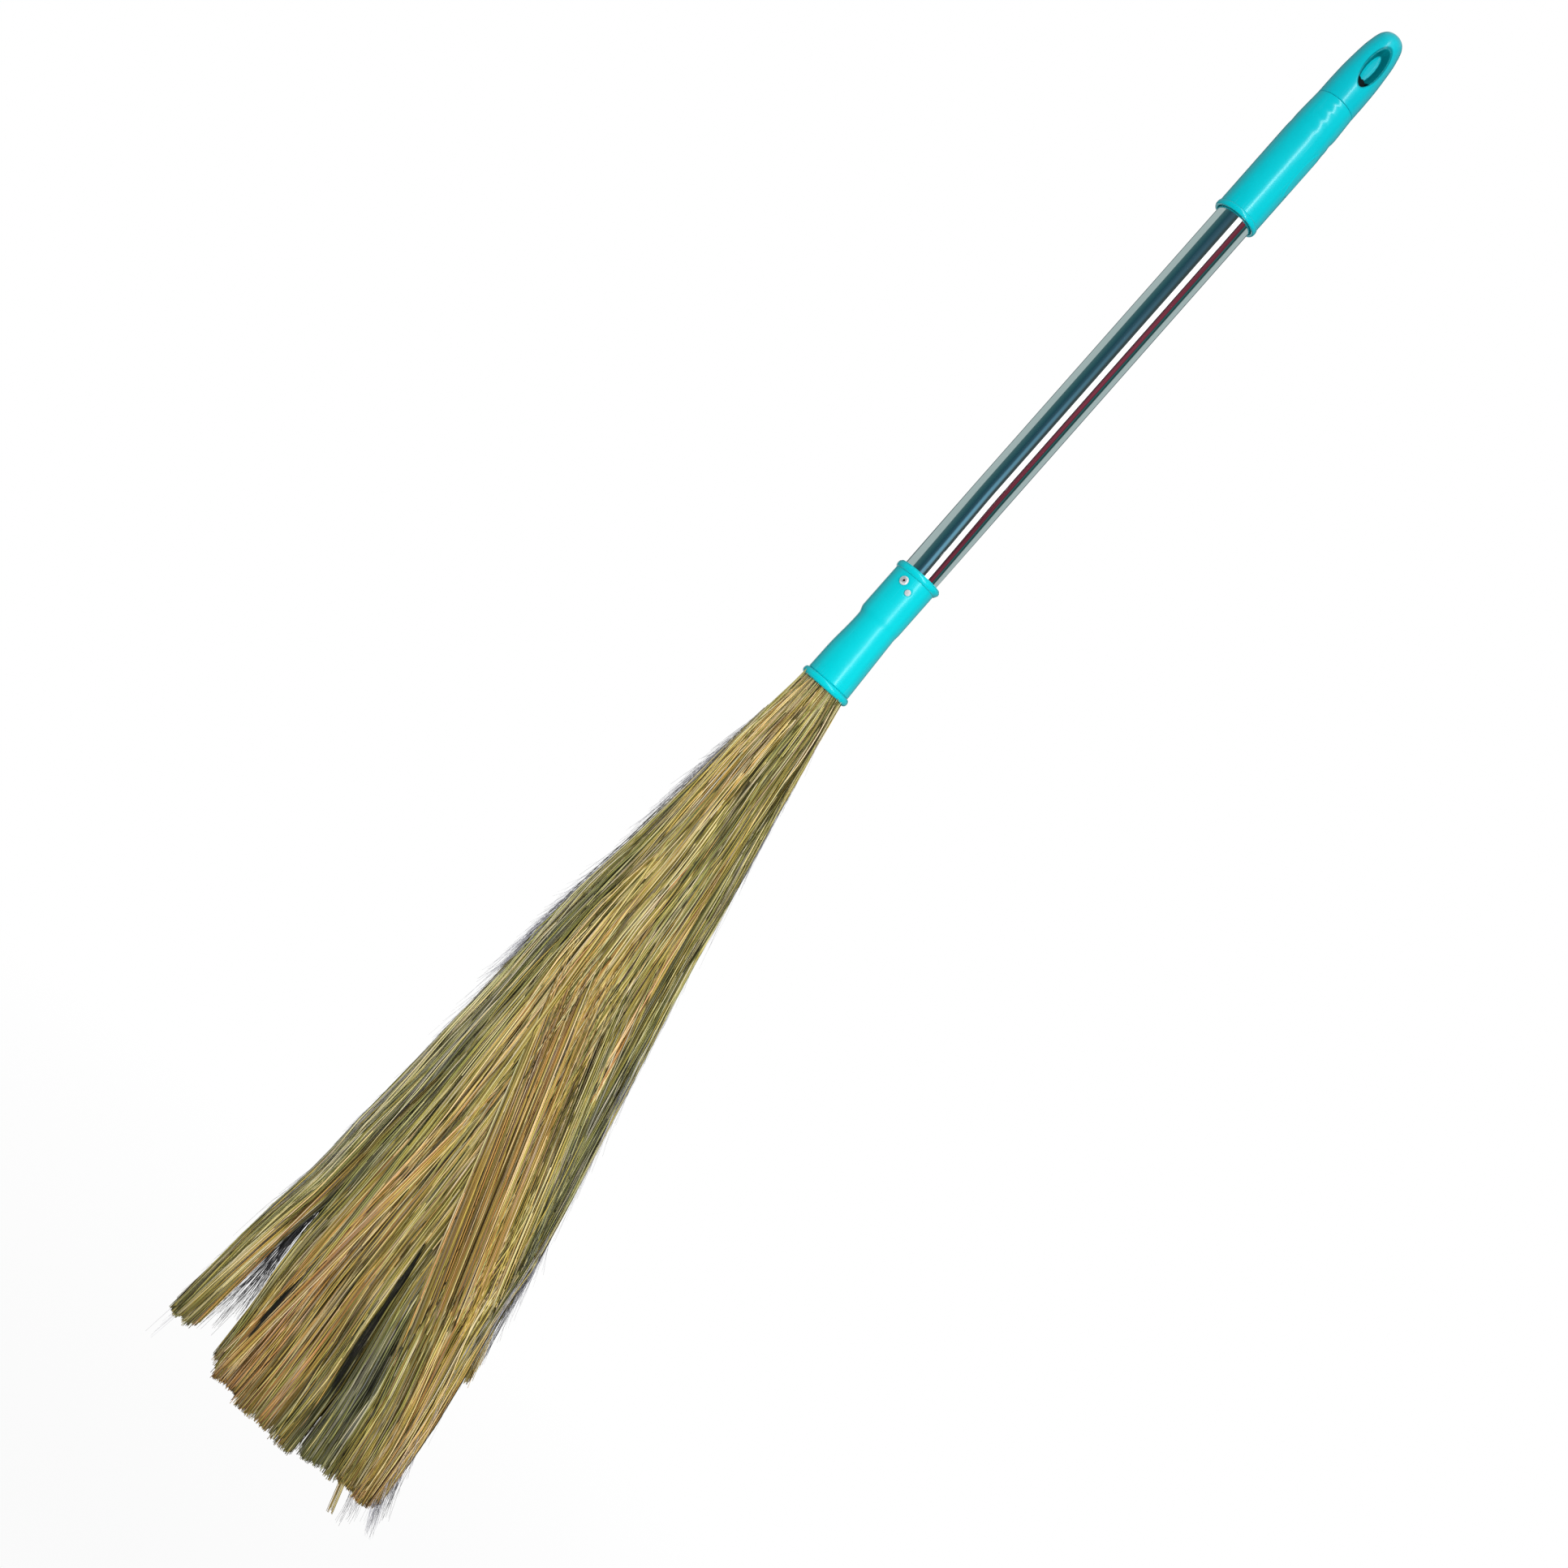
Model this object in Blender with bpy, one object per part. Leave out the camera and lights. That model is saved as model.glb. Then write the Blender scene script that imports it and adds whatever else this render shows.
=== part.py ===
"""Grass broom on a steel tube, standing upright as it hangs from the eye at its top.

Lengths are in metres. +Z runs up the handle, +X is on the right of someone who faces the eye,
and the front of the broom faces -Y. The origin lies on the handle's axis, level with the top of
the eye's mouth. Running this file in Blender replaces the objects of the open scene.
"""

import math
import random

import bmesh
import bpy

# Room left between two pieces that touch, and how far a cutter runs past what it cuts
seat_gap = 0.0003
overrun = 0.004

# Hanging cap and its eye, an oval sunk from the front and the back to a web
eye_width = 0.0128
eye_height = 0.0308
eye_face = 0.0129
eye_turn = math.radians(14)
web_front = 0.005
web_thickness = 0.0016
web_width = 0.0064
web_height = 0.02
tip_over_eye = 0.0123
skirt_under_eye = 0.0145
cap_wall = 0.0009
cap_edge_round = 0.0004

# Steel tube
tube_radius = 0.0125
tube_wall = 0.0006
tube_length = 0.45
tube_end_in_eye = 0.005

# Grip sleeve
grip_length = 0.0942
grip_wall = 0.0021
grip_shoulder_drop = 0.021
grip_lip_height = 0.0038
grip_lip_rim = 0.0007
grip_mouth_flare = 0.0006

# Ferrule
ferrule_hold = 0.041
ferrule_wall = 0.0021
ferrule_ledge = 0.003
ferrule_ledge_width = 0.0009
top_bead_height = 0.0045
top_bead_rim = 0.0011
shoulder_drop = 0.0018
socket_depth = 0.0486
socket_top_radius = 0.0129
socket_wall = 0.0016
mouth_radius = 0.0162
mouth_bead_height = 0.0051
mouth_bead_rim = 0.0019
ferrule_flare = 0.0014
ferrule_lean = 0.0012

# Rivet and nail
rivet_head_radius = 0.003
rivet_head_height = 0.0013
rivet_shank_radius = 0.0016
rivet_dimple_radius = 0.0009
rivet_bulb_radius = 0.0023
rivet_bulb_length = 0.0024
rivet_drop = 0.0104
rivet_turn = math.radians(-19.6)
nail_head_radius = 0.002
nail_head_height = 0.0006
nail_shank_radius = 0.0009
nail_length = 0.009
nail_drop = 0.0148
nail_turn = math.radians(5.8)

# Binding wire
wire_radius = 0.0006
first_wire_drop = 0.0055
wire_spacing = 0.006

# Grass butts, and the strands that grow out of their lower face
bound_length = 0.015
butt_recess = 0.0032
strand_pitch = 0.0012
row_pitch = 0.0015
root_width = 0.0008
root_depth = 0.0007
knee_width = 0.0026
knee_depth = 0.0014
low_width = 0.004
low_depth = 0.002
strand_margin = 0.00006

# Grass fan: how far it reaches left, right and to each side of the middle at three levels
grass_length = 0.5794
knee_left = 0.0313
knee_right = 0.0566
knee_reach = 0.018
low_left = 0.0435
low_right = 0.124
low_reach = 0.0245
end_left = 0.048
end_right = 0.137
end_reach = 0.0255
knee_share = 0.3
low_share = 0.8
blunt_end_share = 0.6
ragged_share = 0.03
sway_share = 0.96
sway_step_share = 0.618

# Where each tuft starts and ends across the neck and across the ends, and its length
neck_edge_shares = (0.004, 0.14, 0.23, 0.35, 0.5, 0.59, 0.71, 0.81, 0.996)
end_from_shares = (0.0, 0.205, 0.268, 0.375, 0.54, 0.66, 0.80, 0.905)
end_to_shares = (0.075, 0.26, 0.368, 0.53, 0.605, 0.79, 0.895, 1.0)
tuft_length_shares = (0.96, 0.973, 0.983, 0.985, 0.976, 0.973, 1.0, 0.992)
short_edge_share = 0.8
short_tip_share = 0.2

# Contours of the turned pieces, as shares of their own radii and heights
rivet_dimple_shares = ((0.0, 1.0), (0.7, 0.8), (1.0, 0.0))
rivet_dome_shares = ((0.62, 0.86), (0.9, 0.5), (1.0, 0.15), (0.97, 0.0))
rivet_bulb_shares = (0.3, 0.7)
nail_head_shares = ((0.0, 1.0), (0.8, 1.0), (1.0, 0.5), (1.0, 0.0))
cap_contour_shares = (
    (0.0, 1.0),
    (0.263, 0.991),
    (0.482, 0.964),
    (0.642, 0.915),
    (0.73, 0.859),
    (0.788, 0.8),
    (0.861, 0.708),
    (0.927, 0.552),
    (0.978, 0.387),
    (1.0, 0.196),
)

# Fineness of the forms
round_sides = 40
small_sides = 16
wire_sides = 6
bead_steps = 5
eye_steps = 28
slice_steps = 4
strand_sides = 3
smooth_angle = math.radians(35)
merge_share = 0.01
strand_seed = 4

# Levels and radii that follow from the sizes above
eye_bottom = -eye_height
cap_bottom = eye_bottom - skirt_under_eye
bore_radius = tube_radius + seat_gap
cap_radius = bore_radius + cap_wall
tube_top = eye_bottom + tube_end_in_eye
tube_bottom = tube_top - tube_length
grip_top = cap_bottom - seat_gap
grip_bottom = grip_top - grip_length
grip_radius = bore_radius + grip_wall
ferrule_top = tube_bottom + ferrule_hold
ledge_top = tube_bottom - seat_gap
ledge_bottom = ledge_top - ferrule_ledge
mouth = ledge_bottom - socket_depth
ferrule_radius = bore_radius + ferrule_wall
fastener_seat = ferrule_radius + seat_gap
socket_outer_radius = socket_top_radius + socket_wall
flare_radius = socket_outer_radius + ferrule_flare
throat_radius = flare_radius - socket_wall / 2
throat = mouth + butt_recess
bound_radius = socket_top_radius - 2 * wire_radius - 2 * seat_gap
butt_top = ledge_bottom - seat_gap
butt_waist = butt_top - bound_length
butt_radius = throat_radius - seat_gap
grass_end = mouth - grass_length


def between(low, high, share):
    return low + (high - low) * share


def clear_scene():
    for old in list(bpy.data.objects):
        bpy.data.objects.remove(old)


def material(name, colour, roughness, metallic=0.0):
    """A Principled material for one piece."""
    made = bpy.data.materials.new(name)
    made.use_nodes = True
    shader = made.node_tree.nodes["Principled BSDF"]
    shader.inputs["Base Color"].default_value = (*colour, 1.0)
    shader.inputs["Roughness"].default_value = roughness
    shader.inputs["Metallic"].default_value = metallic
    return made


def add_object(name, mesh, finish, parent):
    piece = bpy.data.objects.new(name, mesh)
    piece.data.materials.append(finish)
    piece.parent = parent
    bpy.context.scene.collection.objects.link(piece)
    return piece


def finish_mesh(name, work, smooth=True):
    """Turns a bmesh into a mesh with outward faces."""
    bmesh.ops.recalc_face_normals(work, faces=work.faces)
    mesh = bpy.data.meshes.new(name)
    work.to_mesh(mesh)
    work.free()
    if smooth:
        mesh.shade_smooth()
        mesh.set_sharp_from_angle(angle=smooth_angle)
    return mesh


def turned_mesh(name, outline, sides, closed=True):
    """Spins an outline of (radius, height) points round Z. An open outline starts and ends on the axis."""
    work = bmesh.new()
    corners = [work.verts.new((radius, 0, height)) for radius, height in outline]
    pairs = list(zip(corners, corners[1:]))
    if closed:
        pairs.append((corners[-1], corners[0]))
    edges = [work.edges.new(pair) for pair in pairs]
    bmesh.ops.spin(
        work,
        geom=corners + edges,
        axis=(0, 0, 1),
        cent=(0, 0, 0),
        angle=math.tau,
        steps=sides,
        use_merge=True,
    )
    bmesh.ops.remove_doubles(work, verts=work.verts, dist=seat_gap * merge_share)
    return finish_mesh(name, work)


def bead(radius, rim, top, height):
    """Points down the outside of a half-round bead that stands out of a wall by rim."""
    points = []
    for step in range(bead_steps + 1):
        angle = math.pi * step / bead_steps
        points.append((radius + rim * math.sin(angle), top - height * (1 - math.cos(angle)) / 2))
    return points


def cutter(name, mesh, parent):
    """A hidden object that only cuts others."""
    tool = bpy.data.objects.new(name, mesh)
    tool.parent = parent
    tool.hide_render = True
    tool.display_type = "WIRE"
    bpy.context.scene.collection.objects.link(tool)
    return tool


def cut(piece, tool):
    step = piece.modifiers.new(tool.name, "BOOLEAN")
    step.operation = "DIFFERENCE"
    step.solver = "EXACT"
    step.object = tool


def lean_at(height):
    """Sideways shift of the ferrule's lower end, which isn't quite in line with the tube."""
    share = (ledge_top - height) / (ledge_top - mouth)
    return ferrule_lean * min(max(share, 0.0), 1.0)


def lean_mesh(mesh):
    for corner in mesh.vertices:
        corner.co.x += lean_at(corner.co.z)
    return mesh


def eye_cutter_mesh(web_face):
    """One side of the eye: an oval that narrows from outside the cap to a face of the web."""
    work = bmesh.new()
    rings = []
    for depth in (eye_face + overrun, web_face):
        share = (depth - web_face) / (eye_face - web_face)
        half_width = between(web_width, eye_width, share) / 2
        half_height = between(web_height, eye_height, share) / 2
        ring = []
        for step in range(eye_steps):
            angle = math.tau * step / eye_steps
            x = half_width * math.cos(angle)
            z = eye_bottom / 2 + half_height * math.sin(angle)
            ring.append(work.verts.new((x, -depth, z)))
        rings.append(ring)
    outer, inner = rings
    count = len(outer)
    for index in range(count):
        following = (index + 1) % count
        work.faces.new((outer[index], outer[following], inner[following], inner[index]))
    work.faces.new(outer)
    work.faces.new(list(reversed(inner)))
    return finish_mesh("eye_cut", work, smooth=False)


def make_cap(parent):
    """Turned cap with a bore for the tube's end and an eye sunk from both sides."""
    height = tip_over_eye - cap_bottom
    outline = [(cap_radius * radius, cap_bottom + height * level) for radius, level in cap_contour_shares]
    outline += [
        (cap_radius, cap_bottom + cap_edge_round),
        (cap_radius - cap_edge_round, cap_bottom),
        (bore_radius, cap_bottom),
        (bore_radius, tube_top + seat_gap),
        (0.0, tube_top + seat_gap),
    ]
    mesh = turned_mesh("hanging_cap", outline, round_sides, closed=False)
    cap = add_object("hanging_cap", mesh, material("cap_plastic", (0.0, 0.56, 0.66), 0.32), parent)
    faces = (("eye_front", eye_turn, web_front), ("eye_back", eye_turn + math.pi, web_thickness - web_front))
    for name, turn, web_face in faces:
        tool = cutter(name, eye_cutter_mesh(web_face), parent)
        tool.rotation_euler = (0, 0, turn)
        cut(cap, tool)


def make_grip(parent):
    """Sleeve over the upper tube, with a shoulder under the cap and a lip at its lower end."""
    lip_top = grip_bottom + grip_lip_height
    outline = [
        (cap_radius - cap_edge_round, grip_top),
        (cap_radius, grip_top - cap_edge_round),
        (grip_radius, grip_top - grip_shoulder_drop),
    ]
    outline += bead(grip_radius, grip_lip_rim, lip_top, grip_lip_height)
    outline += [
        (bore_radius + grip_mouth_flare, grip_bottom),
        (bore_radius, lip_top),
        (bore_radius, grip_top),
    ]
    mesh = turned_mesh("grip_sleeve", outline, round_sides)
    add_object("grip_sleeve", mesh, material("grip_plastic", (0.0, 0.58, 0.68), 0.34), parent)


def make_tube(parent, holes):
    inner = tube_radius - tube_wall
    outline = [(tube_radius, tube_top), (tube_radius, tube_bottom), (inner, tube_bottom), (inner, tube_top)]
    mesh = turned_mesh("steel_tube", outline, round_sides)
    tube = add_object("steel_tube", mesh, material("tube_steel", (0.72, 0.73, 0.74), 0.08, 1.0), parent)
    for hole in holes:
        cut(tube, hole)


def make_ferrule(parent, holes):
    """Double socket: the tube stands on its inner ledge and the bound grass fills its lower end."""
    ledge_radius = bore_radius - ferrule_ledge_width
    bead_top = mouth + mouth_bead_height
    outline = bead(ferrule_radius, top_bead_rim, ferrule_top, top_bead_height)
    outline += [
        (ferrule_radius, ledge_top + shoulder_drop),
        (socket_outer_radius, ledge_top),
        (flare_radius, bead_top),
    ]
    outline += bead(flare_radius, mouth_bead_rim, bead_top, mouth_bead_height)[1:-1]
    outline += [
        (mouth_radius, mouth),
        (throat_radius, throat),
        (socket_top_radius, ledge_bottom),
        (ledge_radius, ledge_bottom),
        (ledge_radius, ledge_top),
        (bore_radius, ledge_top),
        (bore_radius, ferrule_top),
    ]
    mesh = lean_mesh(turned_mesh("ferrule", outline, round_sides))
    ferrule = add_object("ferrule", mesh, material("ferrule_plastic", (0.0, 0.68, 0.74), 0.34), parent)
    for hole in holes:
        cut(ferrule, hole)


def stand_on_wall(piece, turn, height):
    """Points a piece's own +Z outwards from the ferrule's wall, with its zero just off the wall."""
    piece.rotation_euler = (math.pi / 2, 0, turn)
    piece.location = (fastener_seat * math.sin(turn), -fastener_seat * math.cos(turn), height)


def make_hole(name, radius, turn, height, parent):
    inner_end = tube_radius - tube_wall - fastener_seat - overrun
    outline = [(0.0, overrun), (radius, overrun), (radius, inner_end), (0.0, inner_end)]
    tool = cutter(name, turned_mesh(name, outline, small_sides, closed=False), parent)
    stand_on_wall(tool, turn, height)
    return tool


def make_rivet(parent):
    """Blind rivet with a domed head, a dimple where its stem broke off, and a bulb inside the tube."""
    bulb_top = tube_radius - tube_wall - fastener_seat - seat_gap
    bulb_end = bulb_top - rivet_bulb_length
    outline = []
    for radius, depth in rivet_dimple_shares:
        outline.append((rivet_dimple_radius * radius, rivet_head_height - rivet_dimple_radius * depth))
    for radius, height in rivet_dome_shares:
        outline.append((rivet_head_radius * radius, rivet_head_height * height))
    outline += [(rivet_shank_radius, 0.0), (rivet_shank_radius, bulb_top)]
    outline += [(rivet_bulb_radius, between(bulb_top, bulb_end, share)) for share in rivet_bulb_shares]
    outline += [(rivet_shank_radius, bulb_end), (0.0, bulb_end)]
    mesh = turned_mesh("rivet", outline, small_sides, closed=False)
    rivet = add_object("rivet", mesh, material("rivet_metal", (0.8, 0.8, 0.8), 0.22, 1.0), parent)
    stand_on_wall(rivet, rivet_turn, ferrule_top - rivet_drop)


def make_nail(parent):
    """Small nail through the ferrule and the tube, with its point inside the tube."""
    outline = [(nail_head_radius * radius, nail_head_height * height) for radius, height in nail_head_shares]
    outline += [
        (nail_shank_radius, 0.0),
        (nail_shank_radius, nail_shank_radius - nail_length),
        (0.0, -nail_length),
    ]
    mesh = turned_mesh("locking_nail", outline, small_sides, closed=False)
    nail = add_object("locking_nail", mesh, material("nail_metal", (0.7, 0.7, 0.7), 0.3, 1.0), parent)
    stand_on_wall(nail, nail_turn, ferrule_top - nail_drop)


def make_wires(parent):
    """Two turns of wire round the bound butts, inside the ferrule."""
    finish = material("binding_steel", (0.35, 0.33, 0.3), 0.5, 1.0)
    ring_radius = bound_radius + seat_gap + wire_radius
    outline = []
    for step in range(wire_sides):
        angle = -math.tau * step / wire_sides
        outline.append((ring_radius + wire_radius * math.cos(angle), wire_radius * math.sin(angle)))
    for name, drop in (("binding_wire_upper", 0.0), ("binding_wire_lower", wire_spacing)):
        height = butt_top - first_wire_drop - drop
        ring = add_object(name, turned_mesh(name, outline, round_sides), finish, parent)
        ring.location = (lean_at(height), 0, height)


def section(share):
    """Left edge, right edge and depth scale of the fan at a share of the grass's length."""
    levels = (
        (0.0, lean_at(throat) - butt_radius, lean_at(throat) + butt_radius, butt_radius),
        (knee_share, -knee_left, knee_right, knee_reach),
        (low_share, -low_left, low_right, low_reach),
        (1.0, -end_left, end_right, end_reach),
    )
    for upper, lower in zip(levels, levels[1:]):
        if share <= lower[0]:
            local = (share - upper[0]) / (lower[0] - upper[0])
            left, right, reach = (between(a, b, local) for a, b in zip(upper[1:], lower[1:]))
            return left, right, reach / butt_radius
    return levels[-1][1], levels[-1][2], end_reach / butt_radius


def across(tuft, place, share):
    """The x of a place from 0 to 1 across a tuft's neck, at a share of the grass's length."""
    left, right, _ = section(share)
    even = between(neck_edge_shares[tuft], neck_edge_shares[tuft + 1], place)
    if share == 0.0:
        inset = (seat_gap / 2 + strand_margin) / (right - left)
        even += between(inset, -inset, place)
    drawn = between(end_from_shares[tuft], end_to_shares[tuft], place)
    gathered = max(0.0, (share - low_share) / (1.0 - low_share))
    return between(left, right, between(even, drawn, gathered))


def thickness(share, tip_share):
    """Width and depth of a strand."""
    if share <= knee_share:
        local = share / knee_share
        return between(root_width, knee_width, local), between(root_depth, knee_depth, local)
    if share < tip_share:
        local = (share - knee_share) / (low_share - knee_share)
        return between(knee_width, low_width, local), between(knee_depth, low_depth, local)
    return low_width * blunt_end_share, low_depth * blunt_end_share


def neck_places(tuft, row_y):
    """Edges, as places from 0 to 1 across the tuft's neck, of the cells that hold one strand each."""
    edge = butt_radius - strand_margin
    deep = abs(row_y) + root_depth / 2
    if deep >= edge:
        return []
    chord = math.sqrt(edge * edge - deep * deep)
    inset = seat_gap / 2 + strand_margin
    tuft_left = butt_radius * (2 * neck_edge_shares[tuft] - 1) + inset
    tuft_right = butt_radius * (2 * neck_edge_shares[tuft + 1] - 1) - inset
    left = max(tuft_left, -chord)
    right = min(tuft_right, chord)
    if right - left < root_width + strand_margin:
        return []
    count = max(1, round((right - left) / strand_pitch))
    edges = [between(left, right, index / count) for index in range(count + 1)]
    places = [(edge_x - tuft_left) / (tuft_right - tuft_left) for edge_x in edges]
    return list(zip(places, places[1:]))


def strand_rings(tuft, cell, row_y, number, draw):
    """Rings of three points from the butts' lower face to the strand's blunt tip."""
    sway = sway_share * (2 * (number * sway_step_share % 1) - 1)
    tip_share = tuft_length_shares[tuft] - ragged_share * draw.random()
    if tuft == len(tuft_length_shares) - 1 and cell[1] > short_edge_share:
        tip_share -= short_tip_share * draw.random()
    bend_share = min(low_share, between(knee_share, tip_share, low_share))
    rings = []
    for share in (0.0, knee_share, bend_share, tip_share):
        width, depth = thickness(share, tip_share)
        cell_left = across(tuft, cell[0], share)
        cell_right = across(tuft, cell[1], share)
        slack = cell_right - cell_left - width - strand_margin
        x = (cell_left + cell_right + sway * slack) / 2
        y = row_y * section(share)[2]
        z = throat if share == 0.0 else between(mouth, grass_end, share)
        front_y = y - depth / 2
        back_y = y + depth / 2
        rings.append(((x, front_y, z), (x + width / 2, back_y, z), (x - width / 2, back_y, z)))
    return rings


def slice_outline(tuft, front, back, radius, shift):
    """Corners of a tuft's share of the round bundle, seen from above."""
    left = radius * (2 * neck_edge_shares[tuft] - 1) + seat_gap / 2
    right = radius * (2 * neck_edge_shares[tuft + 1] - 1) - seat_gap / 2
    xs = [between(left, right, step / slice_steps) for step in range(slice_steps + 1)]
    arc = [math.sqrt(radius * radius - x * x) for x in xs]
    if front and back:
        lower = [(x, -y) for x, y in zip(xs, arc)]
        upper = [(x, y) for x, y in zip(xs, arc)]
    elif front:
        lower = [(x, -y) for x, y in zip(xs, arc)]
        upper = [(xs[0], -seat_gap / 2), (xs[-1], -seat_gap / 2)]
    else:
        lower = [(xs[0], seat_gap / 2), (xs[-1], seat_gap / 2)]
        upper = [(x, y) for x, y in zip(xs, arc)]
    return [(x + shift, y) for x, y in lower + upper[::-1]]


def tuft_mesh(name, tuft, front, back, draw):
    """A slice of the bound butts with its strands grown out of the lower face, as one closed body."""
    work = bmesh.new()
    loops = []
    for radius, height in ((bound_radius, butt_top), (bound_radius, butt_waist), (butt_radius, throat)):
        corners = slice_outline(tuft, front, back, radius, lean_at(height))
        loops.append([work.verts.new((x, y, height)) for x, y in corners])
    for upper, lower in zip(loops, loops[1:]):
        for index in range(len(upper)):
            following = (index + 1) % len(upper)
            work.faces.new((upper[index], upper[following], lower[following], lower[index]))
    work.faces.new(loops[0])
    floor = loops[-1]
    floor_edges = [work.edges.get((floor[i - 1], floor[i])) for i in range(len(floor))]
    rows = []
    for index in range(math.ceil(butt_radius / row_pitch)):
        depth = (index + 0.5) * row_pitch
        rows += [-depth] * front + [depth] * back
    strands = [(row_y, cell) for row_y in rows for cell in neck_places(tuft, row_y)]
    for number, (row_y, cell) in enumerate(strands):
        points = strand_rings(tuft, cell, row_y, number, draw)
        rings = [[work.verts.new(point) for point in ring] for ring in points]
        for upper, lower in zip(rings, rings[1:]):
            for i in range(strand_sides):
                work.faces.new((upper[i - 1], upper[i], lower[i], lower[i - 1]))
        work.faces.new(rings[-1])
        floor_edges += [work.edges.get((rings[0][i - 1], rings[0][i])) for i in range(strand_sides)]
    bmesh.ops.triangle_fill(work, edges=floor_edges, use_beauty=True, normal=(0, 0, -1))
    return finish_mesh(name, work, smooth=False)


def make_tufts(parent):
    """Fourteen tufts: one at each side, and six in front of six more between them."""
    olive = (0.30, 0.26, 0.09)
    gold = (0.43, 0.31, 0.09)
    orange = (0.42, 0.22, 0.08)
    draw = random.Random(strand_seed)
    last = len(tuft_length_shares) - 1
    tints = (orange, olive, orange, gold, olive, olive, gold, orange)
    for tuft, tint in enumerate(tints):
        if tuft in (0, last):
            kinds = [("left_tuft" if tuft == 0 else "right_tuft", True, True)]
        else:
            kinds = [(f"front_tuft_{tuft}", True, False), (f"back_tuft_{tuft}", False, True)]
        for name, front, back in kinds:
            mesh = tuft_mesh(name, tuft, front, back, draw)
            add_object(name, mesh, material(name + "_grass", tint, 0.75), parent)


def main():
    clear_scene()
    broom = bpy.data.objects.new("broom", None)
    bpy.context.scene.collection.objects.link(broom)
    rivet_level = ferrule_top - rivet_drop
    nail_level = ferrule_top - nail_drop
    holes = (
        make_hole("rivet_hole", rivet_shank_radius + seat_gap, rivet_turn, rivet_level, broom),
        make_hole("nail_hole", nail_shank_radius + seat_gap, nail_turn, nail_level, broom),
    )
    make_cap(broom)
    make_grip(broom)
    make_tube(broom, holes)
    make_ferrule(broom, holes)
    make_rivet(broom)
    make_nail(broom)
    make_wires(broom)
    make_tufts(broom)


main()
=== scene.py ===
"""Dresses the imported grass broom: moulded plastic, polished tube, thousands of fibres, stage and camera.

Lengths are in metres in the model's own frame: +Z runs up the handle, the front faces -Y, and the
origin lies on the handle's axis, level with the top of the hanging eye.
"""

import functools
import math

import bmesh
import bpy
import numpy as np
from bpy.props import FloatProperty, FloatVectorProperty, IntProperty, PointerProperty
from mathutils import Matrix, Vector


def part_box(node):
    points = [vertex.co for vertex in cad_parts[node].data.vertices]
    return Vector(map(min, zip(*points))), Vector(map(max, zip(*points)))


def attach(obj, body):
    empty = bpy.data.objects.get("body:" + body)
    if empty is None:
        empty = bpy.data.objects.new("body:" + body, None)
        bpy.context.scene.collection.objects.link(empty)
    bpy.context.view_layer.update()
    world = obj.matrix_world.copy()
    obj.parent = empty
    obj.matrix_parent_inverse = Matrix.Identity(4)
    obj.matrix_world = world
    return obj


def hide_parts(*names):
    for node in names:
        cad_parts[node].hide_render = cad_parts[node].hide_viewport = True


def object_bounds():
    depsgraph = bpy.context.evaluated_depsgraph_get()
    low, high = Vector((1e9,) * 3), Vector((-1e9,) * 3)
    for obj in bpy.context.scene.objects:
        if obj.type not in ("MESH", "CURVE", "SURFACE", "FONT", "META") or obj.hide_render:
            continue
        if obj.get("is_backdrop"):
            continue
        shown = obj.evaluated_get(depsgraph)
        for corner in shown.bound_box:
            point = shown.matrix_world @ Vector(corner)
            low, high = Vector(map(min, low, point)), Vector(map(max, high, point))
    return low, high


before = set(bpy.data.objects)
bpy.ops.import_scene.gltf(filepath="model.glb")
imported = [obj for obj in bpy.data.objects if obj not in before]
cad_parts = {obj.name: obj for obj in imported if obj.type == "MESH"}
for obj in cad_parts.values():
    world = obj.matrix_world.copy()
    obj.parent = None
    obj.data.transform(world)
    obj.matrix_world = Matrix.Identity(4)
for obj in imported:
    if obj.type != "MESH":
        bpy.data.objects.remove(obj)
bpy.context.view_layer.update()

bl_info = {
    "name": "Grass Broom",
    "version": (1, 0, 0),
    "blender": (4, 5, 0),
    "location": "View3D > Sidebar > Broom",
    "description": "Builds the finished surfaces of a grass broom round its packed model",
    "category": "Object",
}

BODY = "root"

# How fine the pieces are: longest stretch of an outline in metres, sides of a round part, distance within
# which two corners are one, and angle from which an edge is sharp
CAP_MESH = 0.002
GRIP_MESH = 0.0007
TUBE_MESH = 0.004
FERRULE_MESH = 0.0008
EYE_SIDES = 96
LINE_SIDES = 8
GRIP_SIDES = 220
TUBE_SIDES = 160
FERRULE_SIDES = 200
FASTENER_SIDES = 48
CARD_SIDES = 180
FIBRE_SIDES = 3
MERGE_DISTANCE = 0.000001
SHARP_ANGLE = math.radians(40)

# Rows of fibre strips in the picture map, and noise so fine across the grass that each fibre has its own
MAP_ROWS = 3
FIBRE_GRAIN = 4000.0

# The tufts that reach from front to back, and how much denser they are
OUTER_TUFTS = ("left_tuft", "right_tuft")
OUTER_SHARE = 1.4

# Brightness below which a streak keeps the outer locks off, and below which it is filled with nearly black
# fibres as painted shade
CLEAR_BELOW = 0.4
CREVICE_BELOW = 0.2

# Reach of the hollows round the grip's shoulder, in radians
DENT_SPREAD = 0.55

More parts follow.
